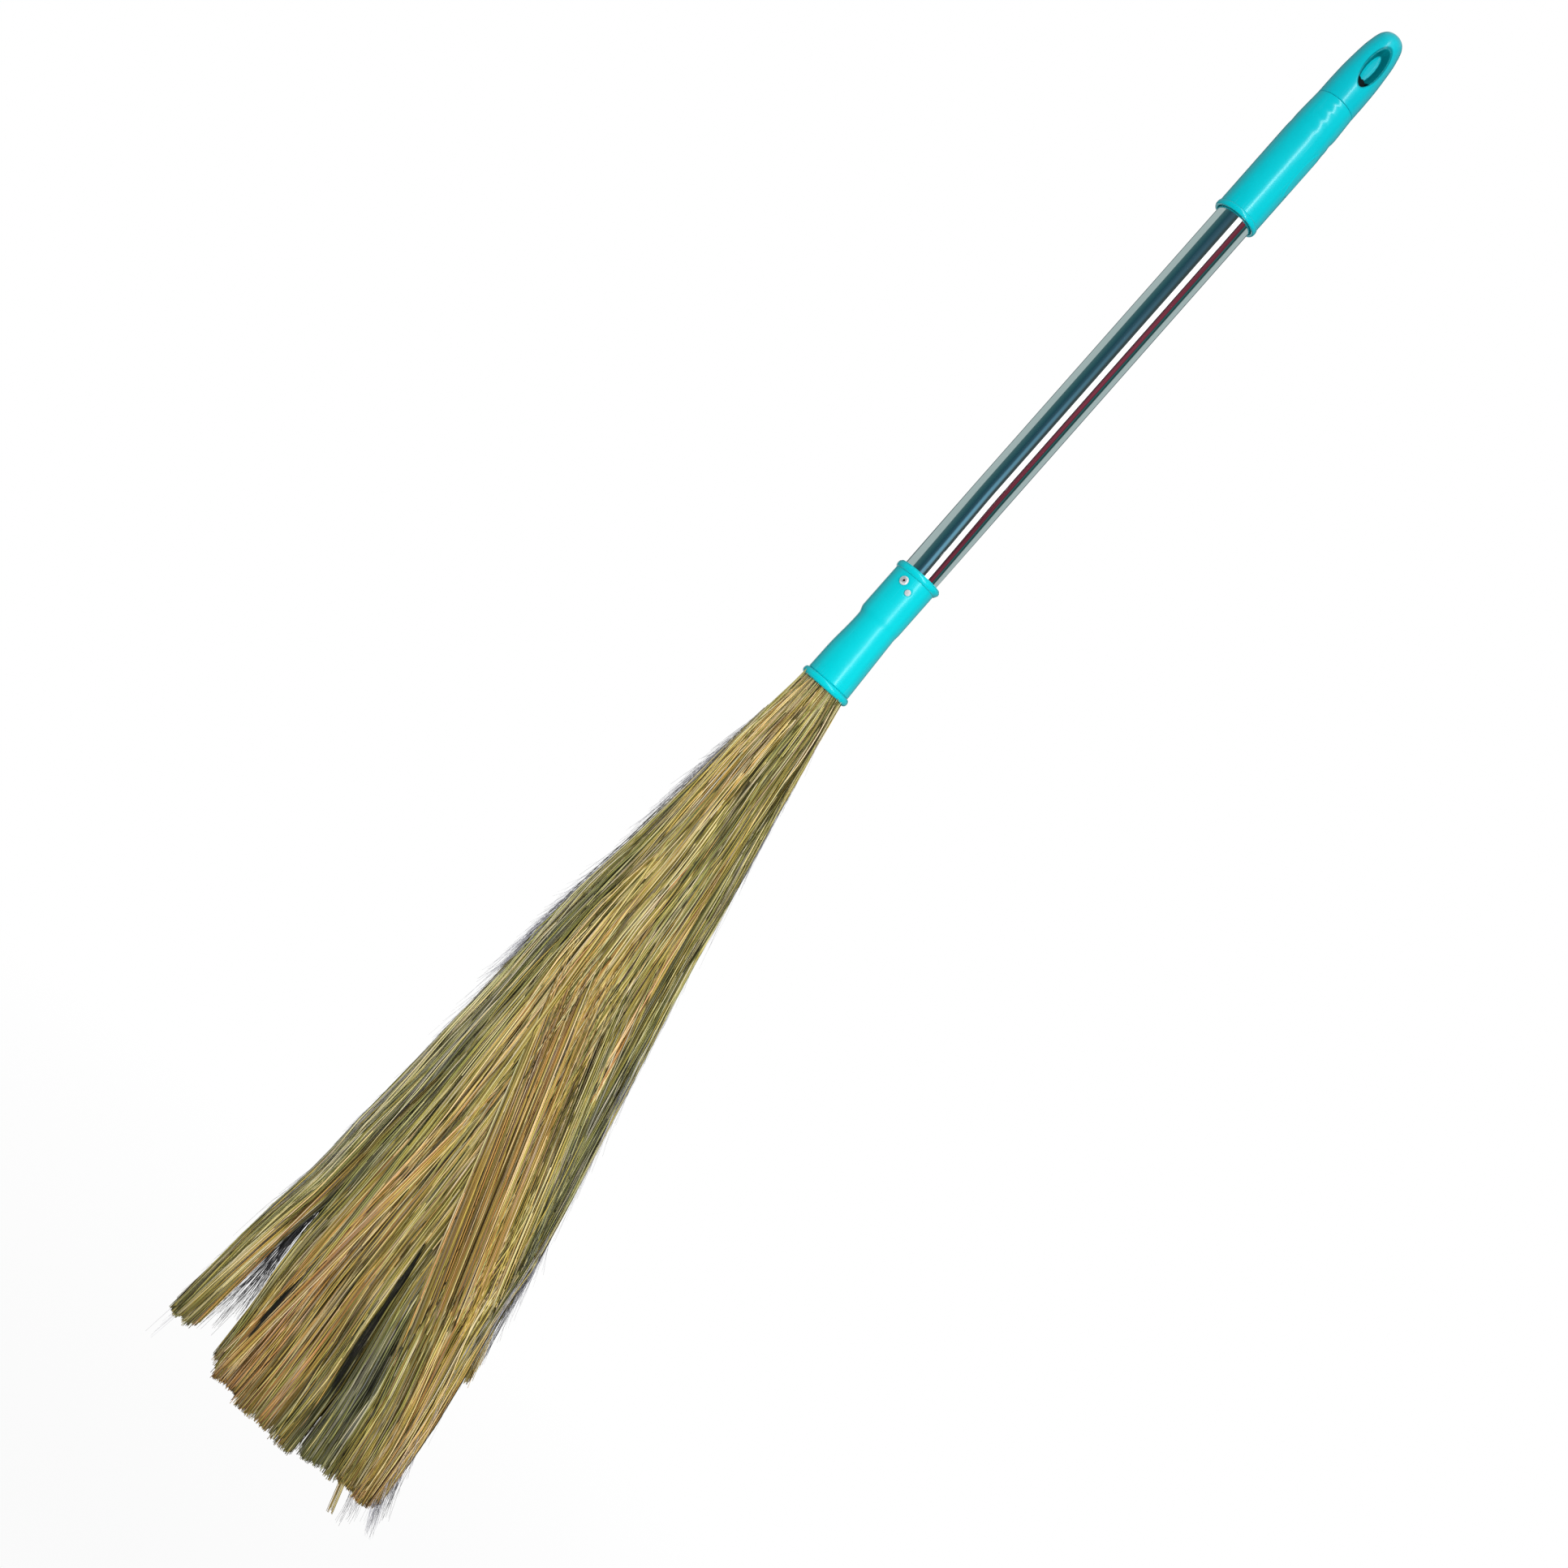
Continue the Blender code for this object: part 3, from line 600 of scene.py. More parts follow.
def divided(outline, longest):
    """Adds points to an outline so that no stretch is longer than given."""
    points = [outline[0]]
    for start, end in zip(outline, outline[1:]):
        count = max(1, math.ceil(math.dist(start, end) / longest))
        for step in range(1, count + 1):
            points.append((between(start[0], end[0], step / count), between(start[1], end[1], step / count)))
    return points


def bead(radius, rim, top, height, steps=8):
    """Points down the outside of a half-round bead that stands out of a wall by rim."""
    points = []
    for step in range(steps + 1):
        angle = math.pi * step / steps
        points.append((radius + rim * math.sin(angle), top - height * (1 - math.cos(angle)) / 2, 0.0))
    return points


class NodeTree:
    """Shorthand for adding nodes to a material or a node group."""

    def __init__(self, tree):
        self.tree = tree

    def add(self, kind, **settings):
        node = self.tree.nodes.new("ShaderNode" + kind)
        for key, value in settings.items():
            setattr(node, key, value)
        return node

    def join(self, source, target):
        """Links a socket to an input, or sets the input to a plain value."""
        if isinstance(source, bpy.types.NodeSocket):
            self.tree.links.new(source, target)
        else:
            target.default_value = source

    def feed(self, node, **values):
        """Fills inputs by name, with underscores for the spaces in a name."""
        for key, value in values.items():
            self.join(value, node.inputs[key.replace("_", " ")])
        return node

    def use(self, group, **values):
        """The outputs of a node group that is fed with values."""
        return self.feed(self.add("Group", node_tree=group), **values).outputs

    def math(self, operation, first, second=0.0):
        node = self.add("Math", operation=operation)
        self.join(first, node.inputs[0])
        self.join(second, node.inputs[1])
        return node.outputs[0]

    def times(self, *values):
        return functools.reduce(lambda first, second: self.math("MULTIPLY", first, second), values)

    def plus(self, *values):
        return functools.reduce(lambda first, second: self.math("ADD", first, second), values)

    def mix(self, factor, first, second, blend="MIX"):
        node = self.add("Mix", data_type="RGBA", blend_type=blend)
        for name, value in (("Factor", factor), ("A", first), ("B", second)):
            value = (*value, 1.0) if isinstance(value, tuple) else value
            self.join(value, next(s for s in node.inputs if s.name == name and s.enabled))
        return next(s for s in node.outputs if s.enabled)

    def span(self, value, low, high, to_low=0.0, to_high=1.0):
        """Maps a value from one range to another, clamped."""
        limits = {"From_Min": low, "From_Max": high, "To_Min": to_low, "To_Max": to_high}
        return self.feed(self.add("MapRange"), Value=value, **limits).outputs["Result"]

    def ramp(self, factor, colours):
        """A colour ramp with the given (place, colour) stops."""
        node = self.add("ValToRGB")
        stops = node.color_ramp.elements
        while len(stops) < len(colours):
            stops.new(0.5)
        for stop, (place, colour) in zip(stops, colours):
            stop.position = place
            stop.color = (*colour, 1.0)
        self.join(factor, node.inputs["Fac"])
        return node.outputs["Color"]

    def place(self, output="Object"):
        return self.add("TexCoord").outputs[output]

    def parts(self, vector):
        """The X, Y and Z of a vector."""
        node = self.add("SeparateXYZ")
        self.join(vector, node.inputs[0])
        return node.outputs

    def noise(self, scale, along=1.0, detail=2.0, roughness=0.5, place=None):
        """Noise at a place in metres, drawn out along Z where along is below 1."""
        mapping = self.feed(self.add("Mapping"), Vector=place or self.place(), Scale=(1.0, 1.0, along))
        node = self.add("TexNoise")
        self.feed(node, Vector=mapping.outputs[0], Scale=scale, Detail=detail, Roughness=roughness)
        return node.outputs["Fac"]

    def bump(self, height, distance):
        return self.feed(self.add("Bump"), Height=height, Distance=distance, Strength=1.0).outputs["Normal"]


def shared_group(name, inputs, paint):
    """A shader node group, made at its first use, whose colour, roughness and height come from paint."""
    found = bpy.data.node_groups.get(name)
    if found:
        return found
    group = bpy.data.node_groups.new(name, "ShaderNodeTree")
    for label, kind, value in inputs:
        socket = group.interface.new_socket(name=label, in_out="INPUT", socket_type="NodeSocket" + kind)
        socket.default_value = value
    for label, kind in (("Colour", "Color"), ("Roughness", "Float"), ("Height", "Float")):
        group.interface.new_socket(name=label, in_out="OUTPUT", socket_type="NodeSocket" + kind)
    tree = NodeTree(group)
    colour, roughness, height = paint(tree, group.nodes.new("NodeGroupInput").outputs)
    tree.feed(group.nodes.new("NodeGroupOutput"), Colour=colour, Roughness=roughness, Height=height)
    return group


def paint_plastic(tree, given):
    """Moulded plastic: faint flow marks in its colour, handling haze and fine scuffs."""
    deep = tree.mix(1.0, given["Colour"], (0.84, 0.95, 0.96), "MULTIPLY")
    colour = tree.mix(tree.span(tree.noise(40.0, 0.35, 3.0), 0.35, 0.7), deep, given["Colour"])
    scratches = tree.span(tree.noise(500.0, 0.06, 1.0), 0.66, 0.74)
    patches = tree.span(tree.noise(55.0), 0.45, 0.65)
    scuffs = tree.times(scratches, patches, given["Wear"])
    colour = tree.mix(tree.times(scuffs, 0.04), colour, (0.4, 0.85, 0.9))
    haze = tree.span(tree.noise(18.0, detail=4.0), 0.3, 0.7, -0.03, 0.05)
    roughness = tree.plus(given["Roughness"], haze, tree.times(scuffs, 0.15))
    return colour, roughness, tree.noise(150.0, detail=0.0)


def paint_metal(tree, given):
    """Polished metal: fine lines along the piece, a few deeper scratches and a light haze."""
    scratch = tree.times(tree.span(tree.noise(900.0, 0.05), 0.7, 0.76), given["Scratches"])
    haze = tree.span(tree.noise(30.0, 0.3, 3.0), 0.4, 0.75, 0.0, 0.05)
    colour = tree.mix(tree.times(scratch, 0.4), given["Colour"], (0.45, 0.46, 0.48))
    roughness = tree.plus(given["Roughness"], haze, tree.times(scratch, 0.2))
    return colour, roughness, tree.math("SUBTRACT", tree.noise(2600.0, 0.004, 3.0), scratch)


def paint_grass(tree, given, settings):
    """Dry grass: tints from grey through olive and gold to orange, dark slits painted as shade, pale glints
    painted as highlights, and cut tips.
    """

    def grain(scale, along, *limits, detail=1.0):
        return tree.span(tree.noise(scale, along, detail, place=given["Flow"]), *limits)

    patch = grain(70.0, 0.05, 0.3, 0.7, -0.08, 0.08, detail=2.0)
    fleck = grain(FIBRE_GRAIN, 0.0032, 0.25, 0.75, -0.20, 0.20)
    tint = tree.plus(given["Tint"], patch, fleck)
    places = ((0.0, "grey"), (0.33, "olive"), (0.66, "gold"), (1.0, "orange"))
    hue = tree.ramp(tint, [(place, getattr(settings, name)) for place, name in places])
    worn = grain(FIBRE_GRAIN, 0.0049, 0.52, 0.64, 0.0, 0.60)
    hue = tree.mix(worn, hue, tuple(settings.faded))
    shade = grain(160.0, 0.04, 0.3, 0.7, 0.95, 1.05, detail=2.0)
    streak = grain(FIBRE_GRAIN, 0.0038, 0.3, 0.7, 0.72, 1.26)
    # Painted shade: thin dark marks along the fibres stand for the shaded gaps between them
    slit_shade = grain(FIBRE_GRAIN, 0.0060, 0.27, 0.30, 0.12, 1.0)
    tip = tree.span(given["Run"], 0.992, 1.0, 1.0, 0.62)
    tone = tree.times(given["Tone"], shade, streak, slit_shade, tip)
    lit = tree.mix(1.0, hue, tone, "MULTIPLY")
    # Painted highlight: pale marks along the fibres stand for glints
    glint = grain(FIBRE_GRAIN, 0.0045, 0.69, 0.73, 0.0, 0.5)
    bleached = tree.span(tone, 1.3, 2.1, 0.0, 0.6)
    colour = tree.mix(tree.math("MAXIMUM", bleached, tree.times(glint, tone)), lit, tuple(settings.pale))
    height = tree.noise(1500.0, 0.05, 1.0, place=given["Flow"])
    return colour, tree.span(tone, 0.5, 1.8, 0.62, 0.42), height


def surface(name):
    """A new material, its node shorthand and its Principled shader."""
    made = bpy.data.materials.new(name)
    made.use_nodes = True
    return made, NodeTree(made.node_tree), made.node_tree.nodes["Principled BSDF"]


def reopened(made):
    """A finished material's node shorthand and shader, and what feeds the shader's colour and roughness."""
    shader = made.node_tree.nodes["Principled BSDF"]
    base, rough = (shader.inputs[name].links[0].from_socket for name in ("Base Color", "Roughness"))
    return NodeTree(made.node_tree), shader, base, rough


def plastic_material(name, colour, roughness, wear):
    made, tree, shader = surface(name)
    inputs = (("Colour", "Color", (0.0, 0.6, 0.7, 1.0)), ("Roughness", "Float", 0.3), ("Wear", "Float", 0.5))
    group = shared_group("moulded_plastic", inputs, paint_plastic)
    paint = tree.use(group, Colour=(*colour, 1.0), Roughness=roughness, Wear=wear)
    # Painted shade: the colour darkens towards the edges that turn away from the view, standing in for shade
    # on the round sides
    rim = tree.span(tree.add("LayerWeight").outputs["Facing"], 0.25, 0.95, 1.0, 0.50)
    tree.feed(
        shader,
        Base_Color=tree.mix(1.0, paint["Colour"], rim, "MULTIPLY"),
        Roughness=paint["Roughness"],
        Specular_IOR_Level=0.3,
        Specular_Tint=(0.35, 1.0, 1.0, 1.0),
        Normal=tree.bump(paint["Height"], 0.00007),
    )
    return made


def metal_material(name, colour, roughness, scratches, relief, metallic=1.0):
    made, tree, shader = surface(name)
    given = ("Colour", "Color", (0.8, 0.8, 0.8, 1.0))
    inputs = (given, ("Roughness", "Float", 0.06), ("Scratches", "Float", 0.5))
    group = shared_group("drawn_metal", inputs, paint_metal)
    paint = tree.use(group, Colour=(*colour, 1.0), Roughness=roughness, Scratches=scratches)
    normal = tree.bump(paint["Height"], relief)
    tree.feed(shader, Base_Color=paint["Colour"], Roughness=paint["Roughness"])
    tree.feed(shader, Metallic=metallic, Normal=normal)
    return made


def fibre_facts(tree):
    """The tint, tone and run that each fibre carries."""
    return tree.parts(tree.add("Attribute", attribute_name="fibre").outputs["Vector"])


def grass_material(name, settings):
    """Grass whose tint, tone and run come from the fibres' own attributes."""
    made, tree, shader = surface(name)
    facts = fibre_facts(tree)
    flow = tree.add("Attribute", attribute_name="flow").outputs["Vector"]
    inputs = (
        ("Tint", "Float", 0.5),
        ("Tone", "Float", 1.0),
        ("Run", "Float", 0.5),
        ("Flow", "Vector", (0.0, 0.0, 0.0)),
    )
    group = shared_group("dry_grass", inputs, lambda tree, given: paint_grass(tree, given, settings))
    paint = tree.use(group, Tint=facts[0], Tone=facts[1], Run=facts[2], Flow=flow)
    tree.feed(
        shader,
        Base_Color=paint["Colour"],
        Roughness=paint["Roughness"],
        Specular_IOR_Level=0.2,
        Normal=tree.bump(paint["Height"], 0.00004),
    )
    return made


def hair_material(name, settings):
    made, tree, shader = surface(name)
    mottle = tree.span(tree.noise(300.0, 0.2), 0.3, 0.7)
    colour = tree.mix(mottle, tuple(c * 0.6 for c in settings.hair_colour), tuple(settings.hair_colour))
    colour = tree.mix(1.0, colour, fibre_facts(tree)[1], "MULTIPLY")
    tree.feed(shader, Base_Color=colour, Roughness=0.6, Specular_IOR_Level=0.2)
    return made


def bridge(work, rings):
    """Joins each ring of corners to the next with faces."""
    for ring, after in zip(rings, rings[1:]):
        for index, corner in enumerate(ring):
            on = (index + 1) % len(ring)
            work.faces.new((corner, ring[on], after[on], after[index]))


def oval_loft(name, sections, turn, middle):
    """A closed loft of upright ovals, given as (depth, half width, half height), turned round Z."""
    work = bmesh.new()
    spin = Matrix.Rotation(turn, 3, "Z")
    angles = [math.tau * step / EYE_SIDES for step in range(EYE_SIDES)]
    rings = []
    for depth, wide, high in sections:
        places = [Vector((wide * math.cos(a), -depth, middle + high * math.sin(a))) for a in angles]
        rings.append([work.verts.new(spin @ place) for place in places])
    bridge(work, rings)
    work.faces.new(rings[0])
    work.faces.new(rings[-1][::-1])
    return mesh_of(work, name)


def oval_wire(name, radius, half_width, half_height, depth, turn, middle):
    """A thin closed ring along an upright oval: the raised line round the eye's web."""
    work = bmesh.new()
    spin = Matrix.Rotation(turn, 3, "Z")
    swings = [math.tau * step / LINE_SIDES for step in range(LINE_SIDES)]
    rings = []
    for step in range(EYE_SIDES):
        angle = math.tau * step / EYE_SIDES
        outward = Vector((math.cos(angle), 0, math.sin(angle)))
        centre = Vector((half_width * outward.x, -depth, middle + half_height * outward.z))
        places = [
            centre + outward * radius * math.cos(a) - Vector((0, radius * math.sin(a), 0)) for a in swings
        ]
        rings.append([work.verts.new(spin @ place) for place in places])
    bridge(work, rings + rings[:1])
    return mesh_of(work, name)


def scratch_object(mesh):
    thing = bpy.data.objects.new(mesh.name, mesh)
    bpy.context.scene.collection.objects.link(thing)
    return thing


def applied(thing, *tools):
    """The mesh that an object's modifiers make. The object and its tools are removed."""
    graph = bpy.context.evaluated_depsgraph_get()
    mesh = bpy.data.meshes.new_from_object(thing.evaluated_get(graph), depsgraph=graph)
    for used in (thing, *tools):
        bpy.data.objects.remove(used)
    return mesh


def cut_away(mesh, cutters):
    """Cuts closed meshes out of another and gives the result."""
    thing = scratch_object(mesh)
    tools = [scratch_object(cutter) for cutter in cutters]
    for tool in tools:
        step = thing.modifiers.new(tool.name, "BOOLEAN")
        step.operation = "DIFFERENCE"
        step.solver = "EXACT"
        step.object = tool
    return applied(thing, *tools)


def softened(mesh, voxel, rounds):
    """Rebuilds a closed mesh on a fine grid and relaxes it, which rounds its cut edges."""
    thing = scratch_object(mesh)
    grid = thing.modifiers.new("grid", "REMESH")
    grid.mode = "VOXEL"
    grid.voxel_size = voxel
    grid.use_smooth_shade = True
    relax = thing.modifiers.new("relax", "SMOOTH")
    relax.factor = 0.5
    relax.iterations = rounds
    result = applied(thing)
    result.shade_smooth()
    return result


def joined(meshes, name):
    """Puts several meshes into one."""
    work = bmesh.new()
    for mesh in meshes:
        work.from_mesh(mesh)
    return mesh_of(work, name, outward=False)


class BROOM_OT_cap(bpy.types.Operator):
    """Make the hanging cap with its eye, web and raised line"""
    bl_idname = "broom.make_cap"
    bl_label = "Hanging cap"

    def execute(self, context):
        s = context.scene.broom.handle
        radius, bottom, top = reach_of("hanging_cap")
        bore = radius - s.skin
        roof = reach_of("steel_tube")[2] + s.seat_gap
        seam = bottom - s.seam_overlap
        outline = smooth_outline([(radius * r, between(bottom, top, level)) for r, level in CAP_SHARES])
        corners = ((radius, bottom + s.edge_round, 0.0), (radius, seam, s.edge_round / 3), (bore, seam, 0.0))
        outline += rounded((*corners, (bore, roof, s.edge_round), (0.0, roof, 0.0)))
        body = turned("cap_body", divided(outline, CAP_MESH), EYE_SIDES, closed=False)
        middle = -s.eye_height / 2
        faces = ((s.web_front, s.eye_turn), (s.web_thickness - s.web_front, s.eye_turn + math.pi))
        shell = cut_away(body, [self.eye_cutter(s, radius, face, turn, middle) for face, turn in faces])
        half_width = s.web_width / 2 - 2.5 * s.web_line
        half_height = s.web_height / 2 - 2.5 * s.web_line
        lines = [oval_wire("web_line", s.web_line, half_width, half_height, *face, middle) for face in faces]
        mesh = softened(joined([shell] + lines, "hanging_cap"), s.cap_voxel, 3)
        add_piece("hanging_cap_shell", mesh, self.cap_material(s, middle), ["hanging_cap"])
        return {"FINISHED"}

    def cap_material(self, s, middle):
        """Moulded plastic, its colour darkened on the walls of the eye as painted shade of the recess."""
        made = plastic_material("cap_plastic", s.cap_colour, s.plastic_roughness, 0.8)
        tree, shader, base, rough = reopened(made)
        at_eye = tree.add("Mapping", vector_type="TEXTURE")
        tree.feed(at_eye, Vector=tree.place(), Location=(0, 0, middle), Rotation=(0, 0, s.eye_turn))
        place = tree.parts(at_eye.outputs[0])
        mouth = self.oval_share(tree, place, s.eye_width, s.eye_height)
        web = self.oval_share(tree, place, s.web_width, s.web_height)
        # Painted shade: the walls between the mouth and the web are darkened in colour, standing in for the
        # recess's shade
        wall = tree.times(tree.span(mouth, 1.0, 1.1, 1.0, 0.0), tree.span(web, 0.92, 1.0))
        shade = tree.span(wall, 0.0, 1.0, 1.0, s.painted_recess_shade)
        gloss = tree.span(mouth, 1.0, 1.1, 0.12, 0.3)
        tree.feed(shader, Base_Color=tree.mix(1.0, base, shade, "MULTIPLY"), Specular_IOR_Level=gloss)
        return made

    def oval_share(self, tree, place, width, height):
        """How far out a place lies in an upright oval: 1 on its edge."""
        across = tree.math("DIVIDE", place["X"], width / 2)
        along = tree.math("DIVIDE", place["Z"], height / 2)
        return tree.math("SQRT", tree.plus(tree.times(across, across), tree.times(along, along)))

    def eye_cutter(self, s, radius, face, turn, middle):
        """One side of the eye, narrowing to the web and flaring a little at its mouth."""
        sections = []
        for share in (1.35, 1.0, 0.9, 0.75, 0.5, 0.25, 0.0):
            flare = 1.2 * s.edge_round * max(0.0, share - 0.85) / 0.15
            width = between(s.web_width, s.eye_width, min(share, 1.0)) / 2 + flare
            height = between(s.web_height, s.eye_height, min(share, 1.0)) / 2 + flare
            sections.append((between(face, radius, share), width, height))
        return oval_loft("eye_cutter", sections, turn, middle)


class BROOM_OT_grip(bpy.types.Operator):
    """Make the grip sleeve with its shoulder, raised panel and rolled lip"""
    bl_idname = "broom.make_grip"
    bl_label = "Grip sleeve"

    def execute(self, context):
        s = context.scene.broom.handle
        half, bottom, top = reach_of("grip_sleeve")
        neck = reach_of("hanging_cap")[0]
        radius = half - s.grip_lip_rim
        bore = neck - s.skin
        lip_top = bottom + s.grip_lip_height
        corners = [(bore, top, 0.0), (neck, top, s.edge_round / 2)]
        corners.append((radius, top - s.grip_shoulder, s.grip_shoulder / 2))
        corners.append((radius, lip_top + s.edge_round, 0.0))
        corners += bead(radius, s.grip_lip_rim, lip_top, s.grip_lip_height)
        corners += [(bore + s.edge_round, bottom, s.edge_round), (bore, lip_top, s.edge_round)]
        corners.append((bore, top, 0.0))
        mesh = turned("grip_sleeve", divided(rounded(corners), GRIP_MESH)[:-1], GRIP_SIDES)
        reshape(mesh, lambda places: self.detail(s, places, neck, top))
        finish = plastic_material("grip_plastic", s.grip_colour, s.plastic_roughness, 1.0)
        add_piece("grip_sleeve_shell", mesh, finish, ["grip_sleeve"])
        return {"FINISHED"}

    def detail(self, s, places, neck, top):
        """Raises the plain panel and its rim, and sinks the shoulder's hollows."""
        x, y, z = places.T
        reach = np.hypot(x, y)
        turn = np.arctan2(x, -y)
        across = (turn - s.panel_turn) * reach / (s.panel_width / 2)
        along = (z - (top - s.panel_drop)) / (s.panel_height / 2)
        far = np.hypot(across, along)
        rim = np.exp(-(((far - 1.0) / 0.09) ** 2)) * s.panel_rise
        floor = (1 - smooth_step(0.9, 1.0, far)) * s.panel_rise * 0.45
        dents = np.zeros_like(z)
        for side, drop, height, depth in SHOULDER_DENTS:
            wide = np.exp(-(((turn - math.radians(side)) / DENT_SPREAD) ** 2))
            tall = np.exp(-(((z - (top - drop)) / height) ** 2))
            dents += wide * tall * depth * s.dent_depth
        outer = reach > neck - s.skin / 2
        gain = np.where(outer, (reach + rim + floor - dents) / reach, 1.0)
        return np.column_stack((x * gain, y * gain, z))


class BROOM_OT_tube(bpy.types.Operator):
    """Make the polished tube with its rough-cut upper end"""
    bl_idname = "broom.make_tube"
    bl_label = "Steel tube"

    def execute(self, context):
        s = context.scene.broom.handle
        radius, bottom, top = reach_of("steel_tube")
        inner = radius - s.tube_wall
        outline = divided([(radius, top), (radius, bottom), (inner, bottom), (inner, top)], TUBE_MESH)
        mesh = turned("steel_tube", outline, TUBE_SIDES)
        reshape(mesh, lambda places: self.rough_end(s, places, top))
        add_piece("steel_tube_shell", mesh, self.tube_material(s, top), ["steel_tube"])
        return {"FINISHED"}

    def tube_material(self, s, top):
        """Polished steel, dull at the cut upper end and painted nearly black there as shade, with pale flecks
        painted on its edge as highlights.
        """
        made = metal_material("tube_steel", s.steel_colour, 0.045, 0.6, 0.000002)
        tree, shader, base, rough = reopened(made)
        # Painted shade and highlight: the top end is painted nearly black where it lies in the eye's shade,
        # with pale flecks for the highlights on its edge
        dull_and_shaded_end = tree.span(tree.parts(tree.place())["Z"], top - s.shaded_end_from, top - s.shaded_end_to)
        edge = tree.span(tree.noise(330.0, detail=3.0), 0.60, 0.66)
        dark = tree.mix(edge, (0.004, 0.008, 0.009), (0.75, 0.82, 0.82))
        tree.feed(
            shader,
            Base_Color=tree.mix(dull_and_shaded_end, base, dark),
            Roughness=tree.plus(rough, tree.times(dull_and_shaded_end, 0.35)),
            Metallic=tree.math("SUBTRACT", 1.0, tree.times(dull_and_shaded_end, tree.math("SUBTRACT", 1.0, edge))),
            Specular_IOR_Level=tree.span(dull_and_shaded_end, 0.0, 1.0, 0.5, 0.05),
        )
        return made

    def rough_end(self, s, places, top):
        """Dips and dents the cut end where the eye shows it."""
        x, y, z = places.T
        angle = np.arctan2(x, -y) - s.eye_turn
        at_end = smooth_step(top - s.rough_height, top, z)
        burr = s.burr * np.sin(angle * 9) + 0.6 * s.burr * np.sin(angle * 23 + 1.0)
        dip = s.end_dip * smooth_step(0.0, 0.35, angle) * (1 - smooth_step(0.6, 0.9, angle))
        drop = at_end * (dip + np.abs(burr))
        inward = 1 - 0.05 * at_end * np.exp(-((angle / 0.3) ** 2))
        return np.column_stack((x * inward, y * inward, z - drop))


class BROOM_OT_ferrule(bpy.types.Operator):
    """Make the double socket that joins the tube and the grass"""
    bl_idname = "broom.make_ferrule"
    bl_label = "Ferrule"

    def execute(self, context):
        s = context.scene.broom.ferrule
        handle = context.scene.broom.handle
        edge = handle.edge_round
        mouth, top = reach_of("ferrule")[1:]
        tube_radius, tube_end = reach_of("steel_tube")[:2]
        bore = tube_radius + handle.seat_gap
        ledge_top = tube_end - handle.seat_gap
        ledge_bottom = ledge_top - s.ledge
        ledge = bore - s.ledge_width
        upper = bore + s.wall
        socket = s.socket_radius + s.socket_wall
        flared = socket + s.flare
        throat = flared - s.socket_wall / 2
        bead_top = mouth + s.mouth_bead_height
        corners = [(bore, top, 0.0), (upper, top, edge)]
        corners += bead(upper, s.top_bead_rim, top - edge, s.top_bead_height)
        corners += [
            (upper, top - s.hold + s.shoulder_drop, s.shoulder_drop),
            (socket, top - s.hold, s.shoulder_drop),
            (flared, bead_top + edge, edge),
            (flared - edge, bead_top, edge / 2),
        ]
        corners += bead(flared, s.mouth_bead_rim, bead_top, s.mouth_bead_height)
        corners += [
            (s.mouth_radius, mouth, edge),
            (throat, mouth + s.butt_recess, edge),
            (s.socket_radius, ledge_bottom, edge),
            (ledge, ledge_bottom, 0.0),
            (ledge, ledge_top, 0.0),
            (bore, ledge_top, 0.0),
            (bore, top, 0.0),
        ]
        mesh = turned("ferrule", divided(rounded(corners), FERRULE_MESH)[:-1], FERRULE_SIDES)
        fasteners = context.scene.broom.fasteners
        reshape(mesh, lambda places: self.pressed(s, fasteners, places, top, mouth, ledge_top))
        finish = plastic_material("ferrule_plastic", handle.ferrule_colour, handle.plastic_roughness, 0.8)
        add_piece("ferrule_shell", mesh, finish, ["ferrule"])
        return {"FINISHED"}

    def pressed(self, s, fasteners, places, top, mouth, ledge_top):
        """Shifts the mouth, bulges the upper bead, and dents the left side and round the fasteners."""
        x, y, z = places.T
        reach = np.hypot(x, y)
        turn = np.arctan2(x, -y)
        right = np.clip(np.sin(turn), 0.0, 1.0)
        left = np.clip(-np.sin(turn), 0.0, 1.0)
        sink = np.zeros_like(z)
        for angle, drop, radius in (
            (fasteners.rivet_turn, fasteners.rivet_drop, fasteners.rivet_radius),
            (fasteners.nail_turn, fasteners.nail_drop, fasteners.nail_radius),
        ):
            far = np.hypot((turn - angle) * reach, z - (top - drop)) / radius
            sink += s.fastener_dent * np.exp(-(((far - 0.9) / 0.35) ** 2))
        below = top - s.hold - z
        dent = s.side_dent * smooth_step(-s.dent_rise, s.dent_rise / 3, below)
        sink += dent * (1 - smooth_step(s.dent_from, s.dent_to, below)) * left**2
        sink -= s.side_bulge * smooth_step(0.0, s.bulge_rise, z - top + s.top_bead_height) * right**3
        outer = reach > s.socket_radius + s.socket_wall * 0.7
        gain = np.where(outer, (reach - sink) / reach, 1.0)
        shift = s.lean * np.clip((ledge_top - z) / (ledge_top - mouth), 0.0, 1.0)
        return np.column_stack((x * gain + shift, y * gain, z))


